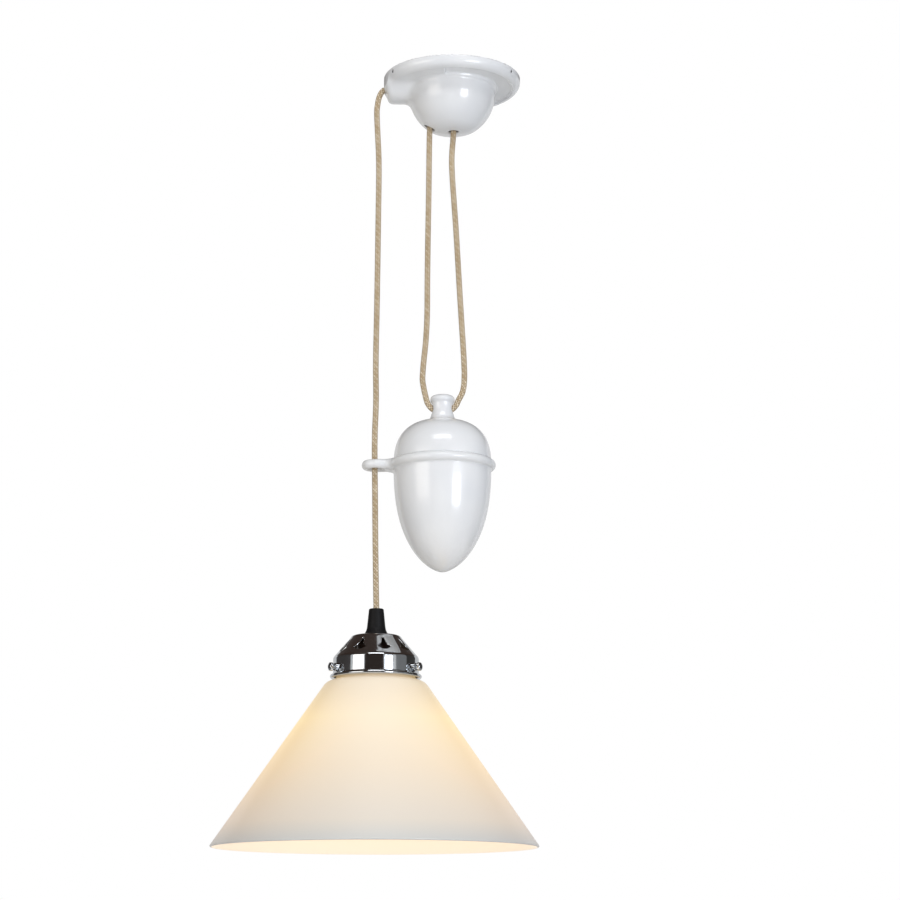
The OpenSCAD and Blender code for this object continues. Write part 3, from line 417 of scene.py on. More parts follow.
def cap_field(p):
    x, y, z = p[..., 0] - WEIGHT_X, p[..., 1], p[..., 2]
    out, rise = np.hypot(x, y), z - BEAD_Z
    shell = power_field(out, rise, WEIGHT_R, CAP_H, CAP_POWER, CAP_POWER)
    down, radius = np.array(FINIAL_LINE).T
    fine = np.linspace(0, FINIAL_DEPTH, 10 * FINIAL_DEPTH + 1)
    softened = np.convolve(np.pad(np.interp(fine, down, radius), 10, mode="edge"), np.hanning(21) / 10, mode="valid")
    reel = (out - np.interp(FINIAL_TOP - z, fine, softened)) * 0.9
    reel = soft_max(np.maximum(reel, FINIAL_FOOT - rise), z - FINIAL_TOP, 7)
    shell = soft_min(shell, reel, 4)
    inner = power_field(out, rise, WEIGHT_R - CAP_WALL, CAP_H - CAP_WALL, CAP_POWER, CAP_POWER)
    shell = np.maximum(shell, -inner)
    tunnel = np.hypot(np.hypot(x + WEIGHT_X - LOOP_CENTRE[0], z - LOOP_CENTRE[1]) - LOOP_R, y) - TUNNEL_R
    return soft_max(soft_max(shell, -tunnel, 1.5), SEAM_Z - z, 1.6)


cap = skin("cap_china", cap_field, (-62, -52, -421), (42, 52, -345))
for piece, node_name in ((cup, "counterweight_cup"), (cap, "counterweight_cap")):
    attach(piece, "counterweight")
    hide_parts(node_name)
    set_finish(piece, "china")

# %% [markdown]
# ## Turned pieces
#
# The grip, the gallery, the shade and the bulb are all round about the lamp's axis: turned, spun or blown. So each is a
# profile swept round. The profile is a closed line of corners, and each corner has a reach, how far its rounding goes
# along its two sides, so a spun shoulder and a crisp edge come from the same list. A line whose ends have no reach can
# also be swept open.


# %% Profiles and sweeps
LAMP_X = -77.5


def rounded(corners, steps=6):
    """A closed outline of (radius, height, reach) corners as points, every corner rounded by its reach."""
    p = np.array([c[:2] for c in corners], float)
    line = []
    for here, before, after, corner in zip(p, np.roll(p, 1, 0), np.roll(p, -1, 0), corners):
        back, ahead = before - here, after - here
        reach = corner[2] if len(corner) > 2 else 0
        if not reach:
            line.append(here)
            continue
        a = here + back * min(0.5, reach / np.linalg.norm(back))
        b = here + ahead * min(0.5, reach / np.linalg.norm(ahead))
        line += [(1 - t) ** 2 * a + 2 * t * (1 - t) * here + t * t * b for t in np.linspace(0, 1, steps + 1)]
    return np.array(line)


def sweep(line, sides, first=0, closed=True):
    """Points and faces of an outline of (radius, height) swept round the z axis."""
    turn = 2 * np.pi * np.arange(sides) / sides + first
    around = np.stack([np.cos(turn), np.sin(turn)], axis=1)
    points = np.concatenate(
        [line[None, :, :1] * around[:, None, :], np.broadcast_to(line[None, :, 1:], (sides, len(line), 1))], axis=2
    )
    index = np.arange(sides * len(line)).reshape(sides, len(line))
    here, up = (index, np.roll(index, -1, 1)) if closed else (index[:, :-1], index[:, 1:])
    corners = [here, np.roll(here, -1, 0), np.roll(up, -1, 0), up]
    return points.reshape(-1, 3), np.stack(corners, axis=-1).reshape(-1, 4)


def merged(parts):
    """The points and faces of several parts as those of one."""
    starts = np.cumsum([0] + [len(p) for p, _ in parts])
    return np.concatenate([p for p, _ in parts]), np.concatenate([f + s for (_, f), s in zip(parts, starts)])


def turned(name, corners, sides, sharp=40, steps=6):
    points, faces = sweep(rounded(corners, steps), sides)
    return make_object(name, points + [LAMP_X, 0, 0], faces.tolist(), sharp=sharp)


# %% [markdown]
# ## The shade
#
# Opal glass, blown into a mould and cut at the rim. The neck's bead hangs on the three thumb screws inside the gallery,
# the waist fills the gallery's mouth, and below a small shoulder the cone runs straight down to the rim. The wall is
# 3 mm and the rim is fire-polished round.

# %% Shade
GALLERY_Z = -601
CROWN_R, CONE_H, BELT_R, BELT_H, ROLL_R, GALLERY_T = 25, 22, 43.7, 19, 2, 1
BELT_TOP = GALLERY_Z - 1.5 - CONE_H
BELT_FOOT = BELT_TOP - BELT_H
SCREW_Z = BELT_TOP - BELT_H * 0.62
SHADE_R, SHADE_FOOT, GLASS_T = 165, GALLERY_Z - 214, 3
SHOULDER_R, SHOULDER_Z = 52, BELT_FOOT - 8
NECK_R, WAIST_R, NECK_FOOT = 41.7, 39.7, SCREW_Z + 1.9
SIDES = 256 if FINE else 128
cone_angle = math.atan2(SHOULDER_Z - SHADE_FOOT, SHADE_R - SHOULDER_R)
across = GLASS_T / math.sin(cone_angle)
shade = turned(
    "shade_glass",
    [
        (WAIST_R - GLASS_T, NECK_FOOT + 4.5, 0.8), (NECK_R, NECK_FOOT + 4.5, 1.2), (NECK_R, NECK_FOOT, 0.7),
        (WAIST_R, NECK_FOOT - 0.2, 0.4), (WAIST_R, BELT_FOOT, 2), (WAIST_R + 1.4, BELT_FOOT - 2.6, 1.4),
        (BELT_R + 0.8, SHOULDER_Z + 3.9, 1.6), (BELT_R + 5, SHOULDER_Z + 2.5, 2.2), (SHOULDER_R, SHOULDER_Z, 4),
        (SHADE_R, SHADE_FOOT + 1.2, 1.3), (SHADE_R - 0.9, SHADE_FOOT, 0.9), (SHADE_R - across + 0.6, SHADE_FOOT, 0.9),
        (SHADE_R - across - 0.6, SHADE_FOOT + 1.6, 1.3), (SHOULDER_R - across, SHOULDER_Z, 4),
        (BELT_R + 2.6 - GLASS_T, SHOULDER_Z + 0.2, 2.2), (BELT_R - 1.4 - GLASS_T, SHOULDER_Z + 2.2, 2),
        (WAIST_R - GLASS_T, BELT_FOOT - 2.4, 2),
    ],
    SIDES, steps=5,
)
# The inside and flank attributes steer the painted glow: inside marks the inner wall below the shoulder, flank is 1 on
# the left and right sides.
around_axis = np.array([v.co for v in shade.data.vertices]) / MM - [LAMP_X, 0, 0]
out = np.hypot(around_axis[:, 0], around_axis[:, 1])
middle_r = SHADE_R - across / 2 - (around_axis[:, 2] - SHADE_FOOT) / math.tan(cone_angle)
inside = (out < middle_r) & (around_axis[:, 2] < SHOULDER_Z - 1)
for label, values in (("inside", inside), ("flank", (around_axis[:, 0] / out) ** 2)):
    shade.data.attributes.new(label, "FLOAT", "POINT").data.foreach_set("value", values.astype(np.float32))
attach(shade, "lamp")
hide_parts("glass_shade")
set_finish(shade, "opal_glass")

# %% Bulb
CONTACT_Z = GALLERY_Z - 31
BULB_R, BULB_Z, CAP_R, CAP_FOOT = 30, CONTACT_Z - 75, 13.2, CONTACT_Z - 25
bulb_out = [(CAP_R - 1.7, CAP_FOOT + 2), (CAP_R - 1.7, CAP_FOOT), (CAP_R - 0.6, CAP_FOOT - 0.1)]
neck = [(13.1, CAP_FOOT - 5), (14.4, CAP_FOOT - 12), (17.6, CAP_FOOT - 20), (21.5, CAP_FOOT - 26.6)]
ball = [(BULB_R * math.cos(a), BULB_Z + BULB_R * math.sin(a)) for a in np.radians(np.linspace(48, -89, 40))]
bulb_out = np.array(bulb_out + neck + ball)
step = np.gradient(bulb_out, axis=0)
inward = np.stack([step[:, 1], -step[:, 0]], axis=1)
inner = (bulb_out + inward / np.linalg.norm(inward, axis=1)[:, None])[::-1]
inner[:, 0] = np.maximum(inner[:, 0], 0.4)
points, faces = sweep(np.vstack([bulb_out, inner]), 96)
bulb = make_object("bulb_envelope", points + [LAMP_X, 0, 0], faces.tolist(), sharp=50)
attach(bulb, "lamp")
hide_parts("bulb_glass")
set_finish(bulb, "bulb_glass")

# %% [markdown]
# ## The grip
#
# A black moulded cone takes the cord into the gallery, and screws down on the nipple inside. It flares a little at its
# foot and its mouth is rounded, so that it doesn't fray the cord.

# %% Cord grip
GRIP_LEN, GRIP_TOP_R, GRIP_FOOT_R = 27, 7.5, 12
grip = turned(
    "cord_grip_moulded",
    [
        (3.15, GALLERY_Z + GRIP_LEN, 0.4), (GRIP_TOP_R, GALLERY_Z + GRIP_LEN, 1.2),
        (GRIP_TOP_R + 2.2, GALLERY_Z + 5.4, 4), (GRIP_FOOT_R - 0.2, GALLERY_Z + 1.6, 0.8),
        (GRIP_FOOT_R - 0.2, GALLERY_Z, 0.2), (5.1, GALLERY_Z, 0.2),
        (5.1, GALLERY_Z + GRIP_LEN / 2, 0.2), (3.15, GALLERY_Z + GRIP_LEN / 2, 0.2),
    ],
    96,
)
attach(grip, "lamp")
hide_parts("cord_grip")
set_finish(grip, "grip_black")

# %% [markdown]
# ## The gallery
#
# The chrome gallery is spun from 1 mm brass sheet and then pierced: nine holes with a blunt point, hollow sides and a
# bulging foot let the bulb's heat out. Its crown and belt are one sweep. The band with the holes can't be, so each
# ninth of it is a patch of rings that run from the hole's edge to the patch's four sides, outside and inside, with a
# softened cut edge between. The patches' sides have as many points as the sweep, so that everything joins.

# %% Outline of a pierced hole
HOLES, HOLE_W, HOLE_H, HOLE_TURN = 9, 14, 17, 15
PER_HOLE = 24
SIDE_CUTS = 12
BAND = (-10.3, 12.2)


def bend(p, m, q, n):
    t = np.arange(n)[:, None] / n
    return (1 - t) ** 2 * np.array(p) + 2 * t * (1 - t) * np.array(m) + t * t * np.array(q)


def hole_outline():
    """From the middle of the top, clockwise, as many points as the patch has round its sides."""
    w, h = HOLE_W, HOLE_H
    tip = np.array([[0, h * 0.56], [w / 24, h * 0.555]])
    right = bend((w / 12, h * 0.54), (w / 10, h * -0.04), (w / 2, h / -5), PER_HOLE - 4)
    foot = bend((w / 2, h / -5), (0, h * -0.72), (w / -2, h / -5), PER_HOLE + 4)
    left = bend((w / -2, h / -5), (w / -10, h * -0.04), (w / -12, h * 0.54), PER_HOLE - 4)
    line = np.vstack([tip, right, foot, left, tip[1:] * [-1, 1], tip[1:] * [-0.5, 1]])
    return 0.25 * np.roll(line, 1, 0) + 0.5 * line + 0.25 * np.roll(line, -1, 0)


outline = hole_outline()
around = np.roll(outline, -1, 0) - np.roll(outline, 1, 0)
outward = np.stack([-around[:, 1], around[:, 0]], axis=1)
outward /= np.linalg.norm(outward, axis=1)[:, None]
print("points round a hole:", len(outline), "hole:", np.ptp(outline, axis=0).round(1))

# %% Pierced band
MID_R, MID_Z = (CROWN_R + BELT_R) / 2 - 0.3, (GALLERY_Z - 1.9 + BELT_TOP) / 2
CREST = np.array([CROWN_R, GALLERY_Z - 1.9])
FOOT = np.array([BELT_R - 1.8, BELT_TOP + 1.9])
cone_run = (FOOT - CREST) / np.linalg.norm(FOOT - CREST)
cone_out = np.array([-cone_run[1], cone_run[0]])
MIDDLE = CREST + cone_run * ((np.array([MID_R, MID_Z]) - CREST) @ cone_run)


def on_cone(flat, depth, turn):
    """Points from the flat pattern (sideways angle in radians, up the slope), depth below the outside, turned round."""
    profile = MIDDLE - flat[:, 1:] * cone_run - depth * cone_out
    angle = flat[:, 0] + turn
    return np.stack([profile[:, 0] * np.cos(angle), profile[:, 0] * np.sin(angle), profile[:, 1]], axis=1)


half = math.pi / HOLES
across_top = np.linspace(0, half, PER_HOLE // 2 + 1)
down = np.linspace(BAND[1], BAND[0], SIDE_CUTS + 1)
edge = np.array(
    [(a, BAND[1]) for a in across_top[:-1]]
    + [(half, b) for b in down[:-1]]
    + [(a, BAND[0]) for a in across_top[:0:-1]]
    + [(-a, BAND[0]) for a in across_top[:-1]]
    + [(-half, b) for b in down[:0:-1]]
    + [(-a, BAND[1]) for a in across_top[:0:-1]]
)
SECTION = [(0.34, 0), (0.1, 0.1), (0, 0.34), (0, 0.66), (0.1, 0.9), (0.34, 1)]
SPREAD = [1, 0.82, 0.64, 0.47, 0.31, 0.17, 0.07]
loops = [(edge, None, s, 0) for s in SPREAD] + [(None, grow, 0, d) for grow, d in SECTION]
loops += [(edge, None, s, GALLERY_T) for s in SPREAD[::-1]]
points, faces, base = [], [], 0
for k in range(HOLES):
    turn = math.radians(-90 + HOLE_TURN + 360 * k / HOLES)
    for side_line, grow, s, depth in loops:
        ring = outline + outward * (SECTION[0][0] if grow is None else grow)
        ring = np.stack([ring[:, 0] / (MID_R - ring[:, 1] * cone_run[0]), ring[:, 1]], axis=1)
        points.append(on_cone(ring if side_line is None else ring + (side_line - ring) * s, depth, turn))
    index = base + np.arange(len(loops) * len(edge)).reshape(len(loops), len(edge))
    after = np.roll(index, -1, 1)
    faces.append(np.stack([index[:-1], index[1:], after[1:], after[:-1]], axis=-1).reshape(-1, 4))
    base += index.size
pierced = np.concatenate(points), np.concatenate(faces)

# %% Crown and belt
NIPPLE_R, GALLERY_SIDES = 5.05, HOLES * PER_HOLE
band_top, band_foot = MIDDLE - BAND[1] * cone_run, MIDDLE - BAND[0] * cone_run
inset = GALLERY_T * cone_out


def offset_line(line, t):
    """The same line, t deeper in the metal."""
    run = np.gradient(line, axis=0)
    side = np.stack([run[:, 1], -run[:, 0]], axis=1)
    return line + t * side / np.linalg.norm(side, axis=1)[:, None]


crown = rounded([
    (*band_top, 0), (CROWN_R + 0.5, GALLERY_Z - 2, 0.8), (CROWN_R - 1.4, GALLERY_Z - 0.8, 1.2), (12, GALLERY_Z, 2),
    (NIPPLE_R, GALLERY_Z, 0),
], steps=5)
crown_in = offset_line(crown, -GALLERY_T)
crown_in[0] = band_top - inset
belt = rounded([
    (*band_foot, 0), (BELT_R - 1.4, BELT_TOP + 1.6, 1), (BELT_R, BELT_TOP - 0.6, 1.6), (BELT_R, BELT_FOOT + 2.4, 0.8),
], steps=5)
roll = [
    (BELT_R + ROLL_R - 1 + ROLL_R * math.cos(a), BELT_FOOT + ROLL_R * math.sin(a))
    for a in np.radians(np.arange(112, -181, -11.25))
]
belt_in = [
    (BELT_R - 1, BELT_TOP - 0.9), (BELT_R - 1.35, BELT_TOP + 0.1), (BELT_R - 2.2, BELT_TOP + 1.1), band_foot - inset,
]
belt = np.vstack([belt, roll, belt_in])
first = math.radians(-90 + HOLE_TURN)
points, faces = merged([
    pierced,
    sweep(np.vstack([crown, crown_in[::-1]]), GALLERY_SIDES, first, closed=False),
    sweep(belt, GALLERY_SIDES, first, closed=False),
])


def joined(name, points, faces, sharp=50):
    """One closed surface: points that coincide are merged, and all faces turned outwards."""
    piece = make_object(name, points, faces.tolist())
    shape = bmesh.new()
    shape.from_mesh(piece.data)
    bmesh.ops.remove_doubles(shape, verts=shape.verts, dist=0.02 * MM)
    bmesh.ops.recalc_face_normals(shape, faces=shape.faces)
    print(name, "open edges:", sum(e.is_boundary for e in shape.edges))
    shape.to_mesh(piece.data)
    shape.free()
    piece.data.set_sharp_from_angle(angle=math.radians(sharp))
    return piece


gallery = joined("gallery_spun", points + [LAMP_X, 0, 0], faces)
place, facing = (np.array([tuple(getattr(v, key)) for v in gallery.data.vertices]) for key in ("co", "normal"))
place = place / MM - [LAMP_X, 0, 0]
outwards = (facing[:, :2] * place[:, :2]).sum(axis=1) / np.hypot(place[:, 0], place[:, 1])
# Painted shade: faces that look inwards, above the rolled foot, are marked so the chrome turns near-black there.
inner_painted_shade = (0.6 * outwards + facing[:, 2] < -0.3) & (place[:, 2] > BELT_FOOT + 2.5)
gallery.data.attributes.new("inner_painted_shade", "FLOAT", "POINT").data.foreach_set("value", inner_painted_shade.astype(np.float32))
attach(gallery, "lamp")
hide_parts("gallery")
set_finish(gallery, "chrome")

# %% [markdown]
# ## Bosses and thumb screws
#
# Three small bosses are riveted through the belt, and a knurled thumb screw in each presses under the shade's bead.
# The heads are turned with straight knurls and a domed end. The sweep makes them with a ripple round the head.

# %% Bosses and thumb screws
BOSS_R, BOSS_END, THUMB_R, THUMB_HEAD_R, THUMB_HEAD_LEN = 4.2, BELT_R + 3.8, 1.6, 4.3, 5
HEAD_START = BOSS_END + 1.2
KNURLS = 22


def spoked(points, angle):
    """Points made about the z axis, laid along the lamp's radius at an angle in degrees, at the screws' height."""
    c, s = math.cos(math.radians(angle)), math.sin(math.radians(angle))
    x, y, z = points.T
    return np.stack([z * c - x * s + LAMP_X, z * s + x * c, y + SCREW_Z], axis=1)


def boss(angle):
    line = rounded([
        (THUMB_R + 0.05, BOSS_END, 0.2), (BOSS_R - 0.1, BOSS_END, 0.8), (BOSS_R - 0.2, BOSS_END - 1.6, 0.5),
        (BOSS_R, BELT_R - 0.4, 0.2), (THUMB_R + 0.05, BELT_R - 0.4, 0.2),
    ])
    points, faces = sweep(line, 48)
    sunk = points[:, 0] ** 2 / (2 * BELT_R)
    points[:, 2] -= np.where(points[:, 2] < BELT_R, sunk, 0)
    return spoked(points, angle), faces


bosses = joined("belt_bosses", *merged([boss(a) for a in RIM_ANGLES]))
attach(bosses, "lamp")
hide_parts("screw_bosses")
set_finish(bosses, "chrome")
head_end = HEAD_START + THUMB_HEAD_LEN
for place, angle in zip(("right", "left", "back"), RIM_ANGLES):
    line = rounded([
        (0.01, WAIST_R + 0.3, 0), (THUMB_R, WAIST_R + 0.3, 0.5), (THUMB_R, HEAD_START, 0.1),
        (THUMB_HEAD_R * 0.62, HEAD_START, 0.3), (THUMB_HEAD_R * 0.62, HEAD_START + 1, 0.2),
        (THUMB_HEAD_R, HEAD_START + 1, 0.5), (THUMB_HEAD_R, head_end - 0.8, 0.6), (3.2, head_end - 0.6, 0.4),
        (2.6, head_end, 1.2), (0.01, head_end, 0),
    ], steps=4)
    points, faces = sweep(line, KNURLS * 6)
    out = np.hypot(points[:, 0], points[:, 1])
    groove = 0.5 - 0.5 * np.cos(np.arctan2(points[:, 1], points[:, 0]) * KNURLS)
    knurled = (out > THUMB_HEAD_R - 0.35) & (points[:, 2] > HEAD_START)
    points[:, :2] *= np.where(knurled, 1 - 0.08 * groove, 1)[:, None]
    screw = joined(f"thumb_screw_{place}_knurled", spoked(points, angle), faces, sharp=35)
    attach(screw, f"thumb_{place}")
    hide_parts(f"thumb_screw_{place}")
    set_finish(screw, "chrome")

# %% [markdown]
# ## Tools for materials
#
# Colours are written as a paint shop would, in hex, and turned to linear light by one function. Another adds a node
# with its settings, plain values and links, so a material reads as a list of what it is made of. Sockets that share a
# name are picked by number: 0 is the amount, 6 and 7 are the two colours of a mix, and 1 to 4 are the ends of the range
# that a map range reads and of the one that it gives, which both go from 0 to 1 where they aren't set. Patterns use the
# object's own coordinates, which are metres here, so a scale of 1000 gives features about a millimetre wide.


# %% Colour and node helpers
def colour(hex_code):
    channels = [int(hex_code[i : i + 2], 16) / 255 for i in (1, 3, 5)]
    return [c / 12.92 if c <= 0.04045 else ((c + 0.055) / 1.055) ** 2.4 for c in channels] + [1]


def feed(node, sockets):
    """Give a node's inputs their plain values, or link them to other nodes' outputs. A text is a hex colour."""
    for key, value in sockets.items():
        if isinstance(value, bpy.types.NodeSocket):
            node.id_data.links.new(value, node.inputs[key])
        else:
            node.inputs[key].default_value = colour(value) if isinstance(value, str) else value


def add(tree, kind, sockets=None, **settings):
    made = tree.nodes.new(kind)
    for key, value in settings.items():
        setattr(made, key, value)
    feed(made, sockets or {})
    return made


def new_material(name, sockets):
    material = bpy.data.materials.new(name)
    material.use_nodes = True
    tree = material.node_tree
    tree.nodes.clear()
    shader = add(tree, "ShaderNodeBsdfPrincipled", sockets)
    add(tree, "ShaderNodeOutputMaterial", {"Surface": shader.outputs[0]})
    return material, tree, shader


finish = {}

# %% [markdown]
# ## Glazed china
#
# Slip-cast porcelain under a clear glossy glaze: a cool white body, soft broad highlights where the glaze pools and a
# sharp small one over them. The glaze is never quite flat, so a very faint waviness some 9 mm long moves its
# highlights, and the body's tone drifts a little over some 70 mm, as cast clay's does.

# %% Glazed china
finish["china"], tree, shader = new_material("glazed_china", {
    "Roughness": 0.24, "IOR": 1.5, "Coat Weight": 0.6, "Coat Roughness": 0.06, "Coat IOR": 1.5,
})
where = add(tree, "ShaderNodeTexCoord").outputs["Object"]
cloud = add(tree, "ShaderNodeTexNoise", {"Vector": where, "Scale": 14}).outputs[0]
drift = add(tree, "ShaderNodeMapRange", {0: cloud, 1: 0.35, 2: 0.65}).outputs[0]
tone = add(tree, "ShaderNodeMix", {0: drift, 6: "#DFE1E4", 7: "#E7E8E9"}, data_type="RGBA").outputs[2]
wave = add(tree, "ShaderNodeTexNoise", {"Vector": where, "Scale": 110, "Detail": 1}).outputs[0]
ripple = add(tree, "ShaderNodeBump", {"Height": wave, "Distance": 0.12 * MM}).outputs[0]
feed(shader, {"Base Color": tone, "Normal": ripple})

# %% [markdown]
# ## Chrome
#
# Nickel and chromium plated over spun brass: a slightly blue-grey mirror. Spinning leaves rings far finer than a
# millimetre, drawn here 0.8 mm apart so that they just show as a breath of unevenness along the belt. Inside the
# gallery the chrome gives way to painted shade: a near-black brown with little metal and a dull surface.

# %% Chrome
finish["chrome"], tree, shader = new_material("chrome_on_spun_brass", {"Metallic": 1.0, "Roughness": 0.07})
where = add(tree, "ShaderNodeTexCoord").outputs["Object"]
smear = add(tree, "ShaderNodeTexNoise", {"Vector": where, "Scale": 60, "Detail": 3}).outputs[0]
plate = add(tree, "ShaderNodeMix", {0: smear, 6: "#C4C8CC", 7: "#D2D5D8"}, data_type="RGBA").outputs[2]
# Painted shade inside the gallery: near-black brown, little metal and a dull surface, so the holes look dark.
inner_painted_shade = add(tree, "ShaderNodeAttribute", attribute_name="inner_painted_shade").outputs["Fac"]
skin_tone = add(tree, "ShaderNodeMix", {0: inner_painted_shade, 6: plate, 7: "#1C1611"}, data_type="RGBA").outputs[2]
metal = add(tree, "ShaderNodeMapRange", {0: inner_painted_shade, 3: 1, 4: 0.2}).outputs[0]
rough = add(tree, "ShaderNodeMapRange", {0: smear, 1: 0.3, 2: 0.8, 3: 0.05, 4: 0.13}).outputs[0]
rough = add(tree, "ShaderNodeMapRange", {0: inner_painted_shade, 3: rough, 4: 0.6}).outputs[0]
round_about = add(tree, "ShaderNodeMapping", {"Vector": where, "Scale": (0.03, 0.03, 1)}).outputs[0]
rings = add(tree, "ShaderNodeTexNoise", {"Vector": round_about, "Scale": 1200}).outputs[0]
spun = add(tree, "ShaderNodeBump", {"Height": rings, "Distance": 0.01 * MM}).outputs[0]
feed(shader, {"Base Color": skin_tone, "Metallic": metal, "Roughness": rough, "Normal": spun})

# %% [markdown]
# ## Braided cotton
#
# Undyed glazed cotton yarn, plaited over rubber cores. The yarns are beige, with some bundles lighter and some darker,
# and the gaps between them are painted darker as painted shade. The mesh already holds each bundle's height and tone
# as attributes, so the shader only colours them, darkens the gaps and adds the twist of the single yarns, 0.5 mm apart.

# %% Braided cotton
finish["cord_braid"], tree, shader = new_material("plaited_cotton", {
    "Roughness": 0.75, "IOR": 1.5, "Sheen Weight": 0.25, "Sheen Roughness": 0.4,
})
height = add(tree, "ShaderNodeAttribute", attribute_name="yarn_height").outputs["Fac"]
tone = add(tree, "ShaderNodeAttribute", attribute_name="yarn_tone").outputs["Fac"]
where = add(tree, "ShaderNodeTexCoord").outputs["Object"]
patch = add(tree, "ShaderNodeTexNoise", {"Vector": where, "Scale": 160, "Detail": 1}).outputs[0]
mixed = add(tree, "ShaderNodeMath", {0: tone, 1: patch}, operation="ADD").outputs[0]
light = add(tree, "ShaderNodeMapRange", {0: mixed, 1: 0.7, 2: 1.5}).outputs[0]
yarn = add(tree, "ShaderNodeMix", {0: light, 6: "#AE9772", 7: "#EEE0C6"}, data_type="RGBA").outputs[2]
# Painted shade: where the sleeve sinks between bundles its colour darkens to a shaded beige.
clear_of_gap_shade = add(tree, "ShaderNodeMapRange", {0: height, 1: 0.75, 2: 1.2}).outputs[0]
sleeve = add(tree, "ShaderNodeMix", {0: clear_of_gap_shade, 6: "#907C62", 7: yarn}, data_type="RGBA").outputs[2]
fibre = add(tree, "ShaderNodeTexNoise", {"Vector": where, "Scale": 2000}).outputs[0]
twist = add(tree, "ShaderNodeBump", {"Height": fibre, "Distance": 0.2 * MM}).outputs[0]
feed(shader, {"Base Color": sleeve, "Normal": twist})

# %% [markdown]
# ## Opal glass
#
# White glass, flashed with a warm tint. Lit from inside it glows by itself, and from outside it is a smooth glossy
# cream. Real scattering through 3 mm of opal would take many samples and would be lost in the exported model. So the
# glow is painted on as light given off. Its colour goes by the height below the gallery, warm beside the bulb and
# fading towards the rim, with more of it on the left and right flanks and most on the inside. Where the glow ends,
# above the rim, the base colour also turns from cream to a darker neutral grey: painted shade.

# %% Opal glass
finish["opal_glass"], tree, shader = new_material("opal_glass_lit", {
    "Roughness": 0.35, "IOR": 1.5, "Coat Weight": 0.08, "Coat Roughness": 0.08, "Emission Strength": 0.9,
})
where = add(tree, "ShaderNodeTexCoord").outputs["Object"]
level = add(tree, "ShaderNodeSeparateXYZ", {0: where}).outputs[2]
GLOW_TOP = -643
drop = add(tree, "ShaderNodeMapRange", {0: level, 1: GLOW_TOP * MM, 2: SHADE_FOOT * MM}).outputs[0]
# Painted shade: over the last 12 % of the height the base colour turns from cream to a darker neutral grey.
rim_shade = add(tree, "ShaderNodeMapRange", {0: drop, 1: 0.88}).outputs[0]
body = add(tree, "ShaderNodeMix", {0: rim_shade, 6: "#D4CDBF", 7: "#C4C4C0"}, data_type="RGBA").outputs[2]
ramps = []
for stops in (
    [(0, "#8E7A60"), (0.27, "#A8926E"), (0.57, "#8E7658"), (0.85, "#645854"), (1, "#48494C")],
    [(0, "#8E7852"), (0.27, "#D2AC52"), (0.57, "#BC9656"), (0.85, "#927862"), (1, "#5C5452")],
):
    ramp = add(tree, "ShaderNodeValToRGB", {0: drop})
    for _ in stops[2:]:
        ramp.color_ramp.elements.new(0.5)
    for element, (stop, code) in zip(ramp.color_ramp.elements, stops):
        element.position, element.color = stop, colour(code)
    ramps.append(ramp.outputs[0])
front, sides = ramps
flank = add(tree, "ShaderNodeAttribute", attribute_name="flank").outputs["Fac"]
inside = add(tree, "ShaderNodeAttribute", attribute_name="inside").outputs["Fac"]
glow = add(tree, "ShaderNodeMix", {0: flank, 6: front, 7: sides}, data_type="RGBA").outputs[2]
glow = add(tree, "ShaderNodeMix", {0: inside, 6: glow, 7: "#D8BFA2"}, data_type="RGBA").outputs[2]
feed(shader, {"Base Color": body, "Emission Color": glow})

# %% [markdown]
# The bulb is pearl glass, which spreads the filament's light over all of it: less at the neck, most at the ball.

# %% Bulb glass
finish["bulb_glass"], tree, shader = new_material("pearl_bulb_glass_lit", {
    "Roughness": 0.35, "IOR": 1.5, "Base Color": "#F4EEDF", "Emission Color": "#FFF1D0",
})
where = add(tree, "ShaderNodeTexCoord").outputs["Object"]
level = add(tree, "ShaderNodeSeparateXYZ", {0: where}).outputs[2]
glow = add(tree, "ShaderNodeMapRange", {0: level, 1: -0.66, 2: -0.70, 3: 0.8, 4: 3.0}).outputs[0]
feed(shader, {"Emission Strength": glow})

# %% [markdown]
# ## Black mouldings
#
# The grip is a thermoset moulding, the lampholder phenolic. Both are near black with a soft satin skin from the mould;
# the phenolic has a brown mottle from its wood flour, about 2 mm across.

# %% Black mouldings
for slot, name, low, high, scale, detail, low_end, high_end, skin_scale, look in (
    ("grip_black", "moulded_grip", "#0C0C0D", "#151516", 900, 2, 0, 1, 1500,
     {"Roughness": 0.55, "Specular IOR Level": 0.25}),
    ("bakelite", "phenolic_moulding", "#1A1310", "#33231A", 500, 4, 0.4, 0.65, 1200, {"Roughness": 0.32, "IOR": 1.55}),
):
    finish[slot], tree, shader = new_material(name, look)
    where = add(tree, "ShaderNodeTexCoord").outputs["Object"]
    mottle = add(tree, "ShaderNodeTexNoise", {"Vector": where, "Scale": scale, "Detail": detail}).outputs[0]
    light = add(tree, "ShaderNodeMapRange", {0: mottle, 1: low_end, 2: high_end}).outputs[0]
    tone = add(tree, "ShaderNodeMix", {0: light, 6: low, 7: high}, data_type="RGBA").outputs[2]
    grain = add(tree, "ShaderNodeTexNoise", {"Vector": where, "Scale": skin_scale, "Detail": 1}).outputs[0]
    satin = add(tree, "ShaderNodeBump", {"Height": grain, "Distance": 0.03 * MM}).outputs[0]
    feed(shader, {"Base Color": tone, "Normal": satin})

# %% [markdown]
# ## Metals and small pieces
#
# The parts inside the rose are seen only from above, before the lamp is put up. Zinc plate is a dull blue-white metal
# with a faint spangle, the screws are brighter turned steel, and the brass has gone a little brown. Rubber, nylon,
# sleeving, cement, felt and porcelain have a plain gloss and a fine grain of their own. All of them are one recipe:
# noise moves the colour between two tones, raises the surface a little, and on metal also dulls it. In the list, 1000
# over the scale is the grain's width in millimetres, and the last number is its height.

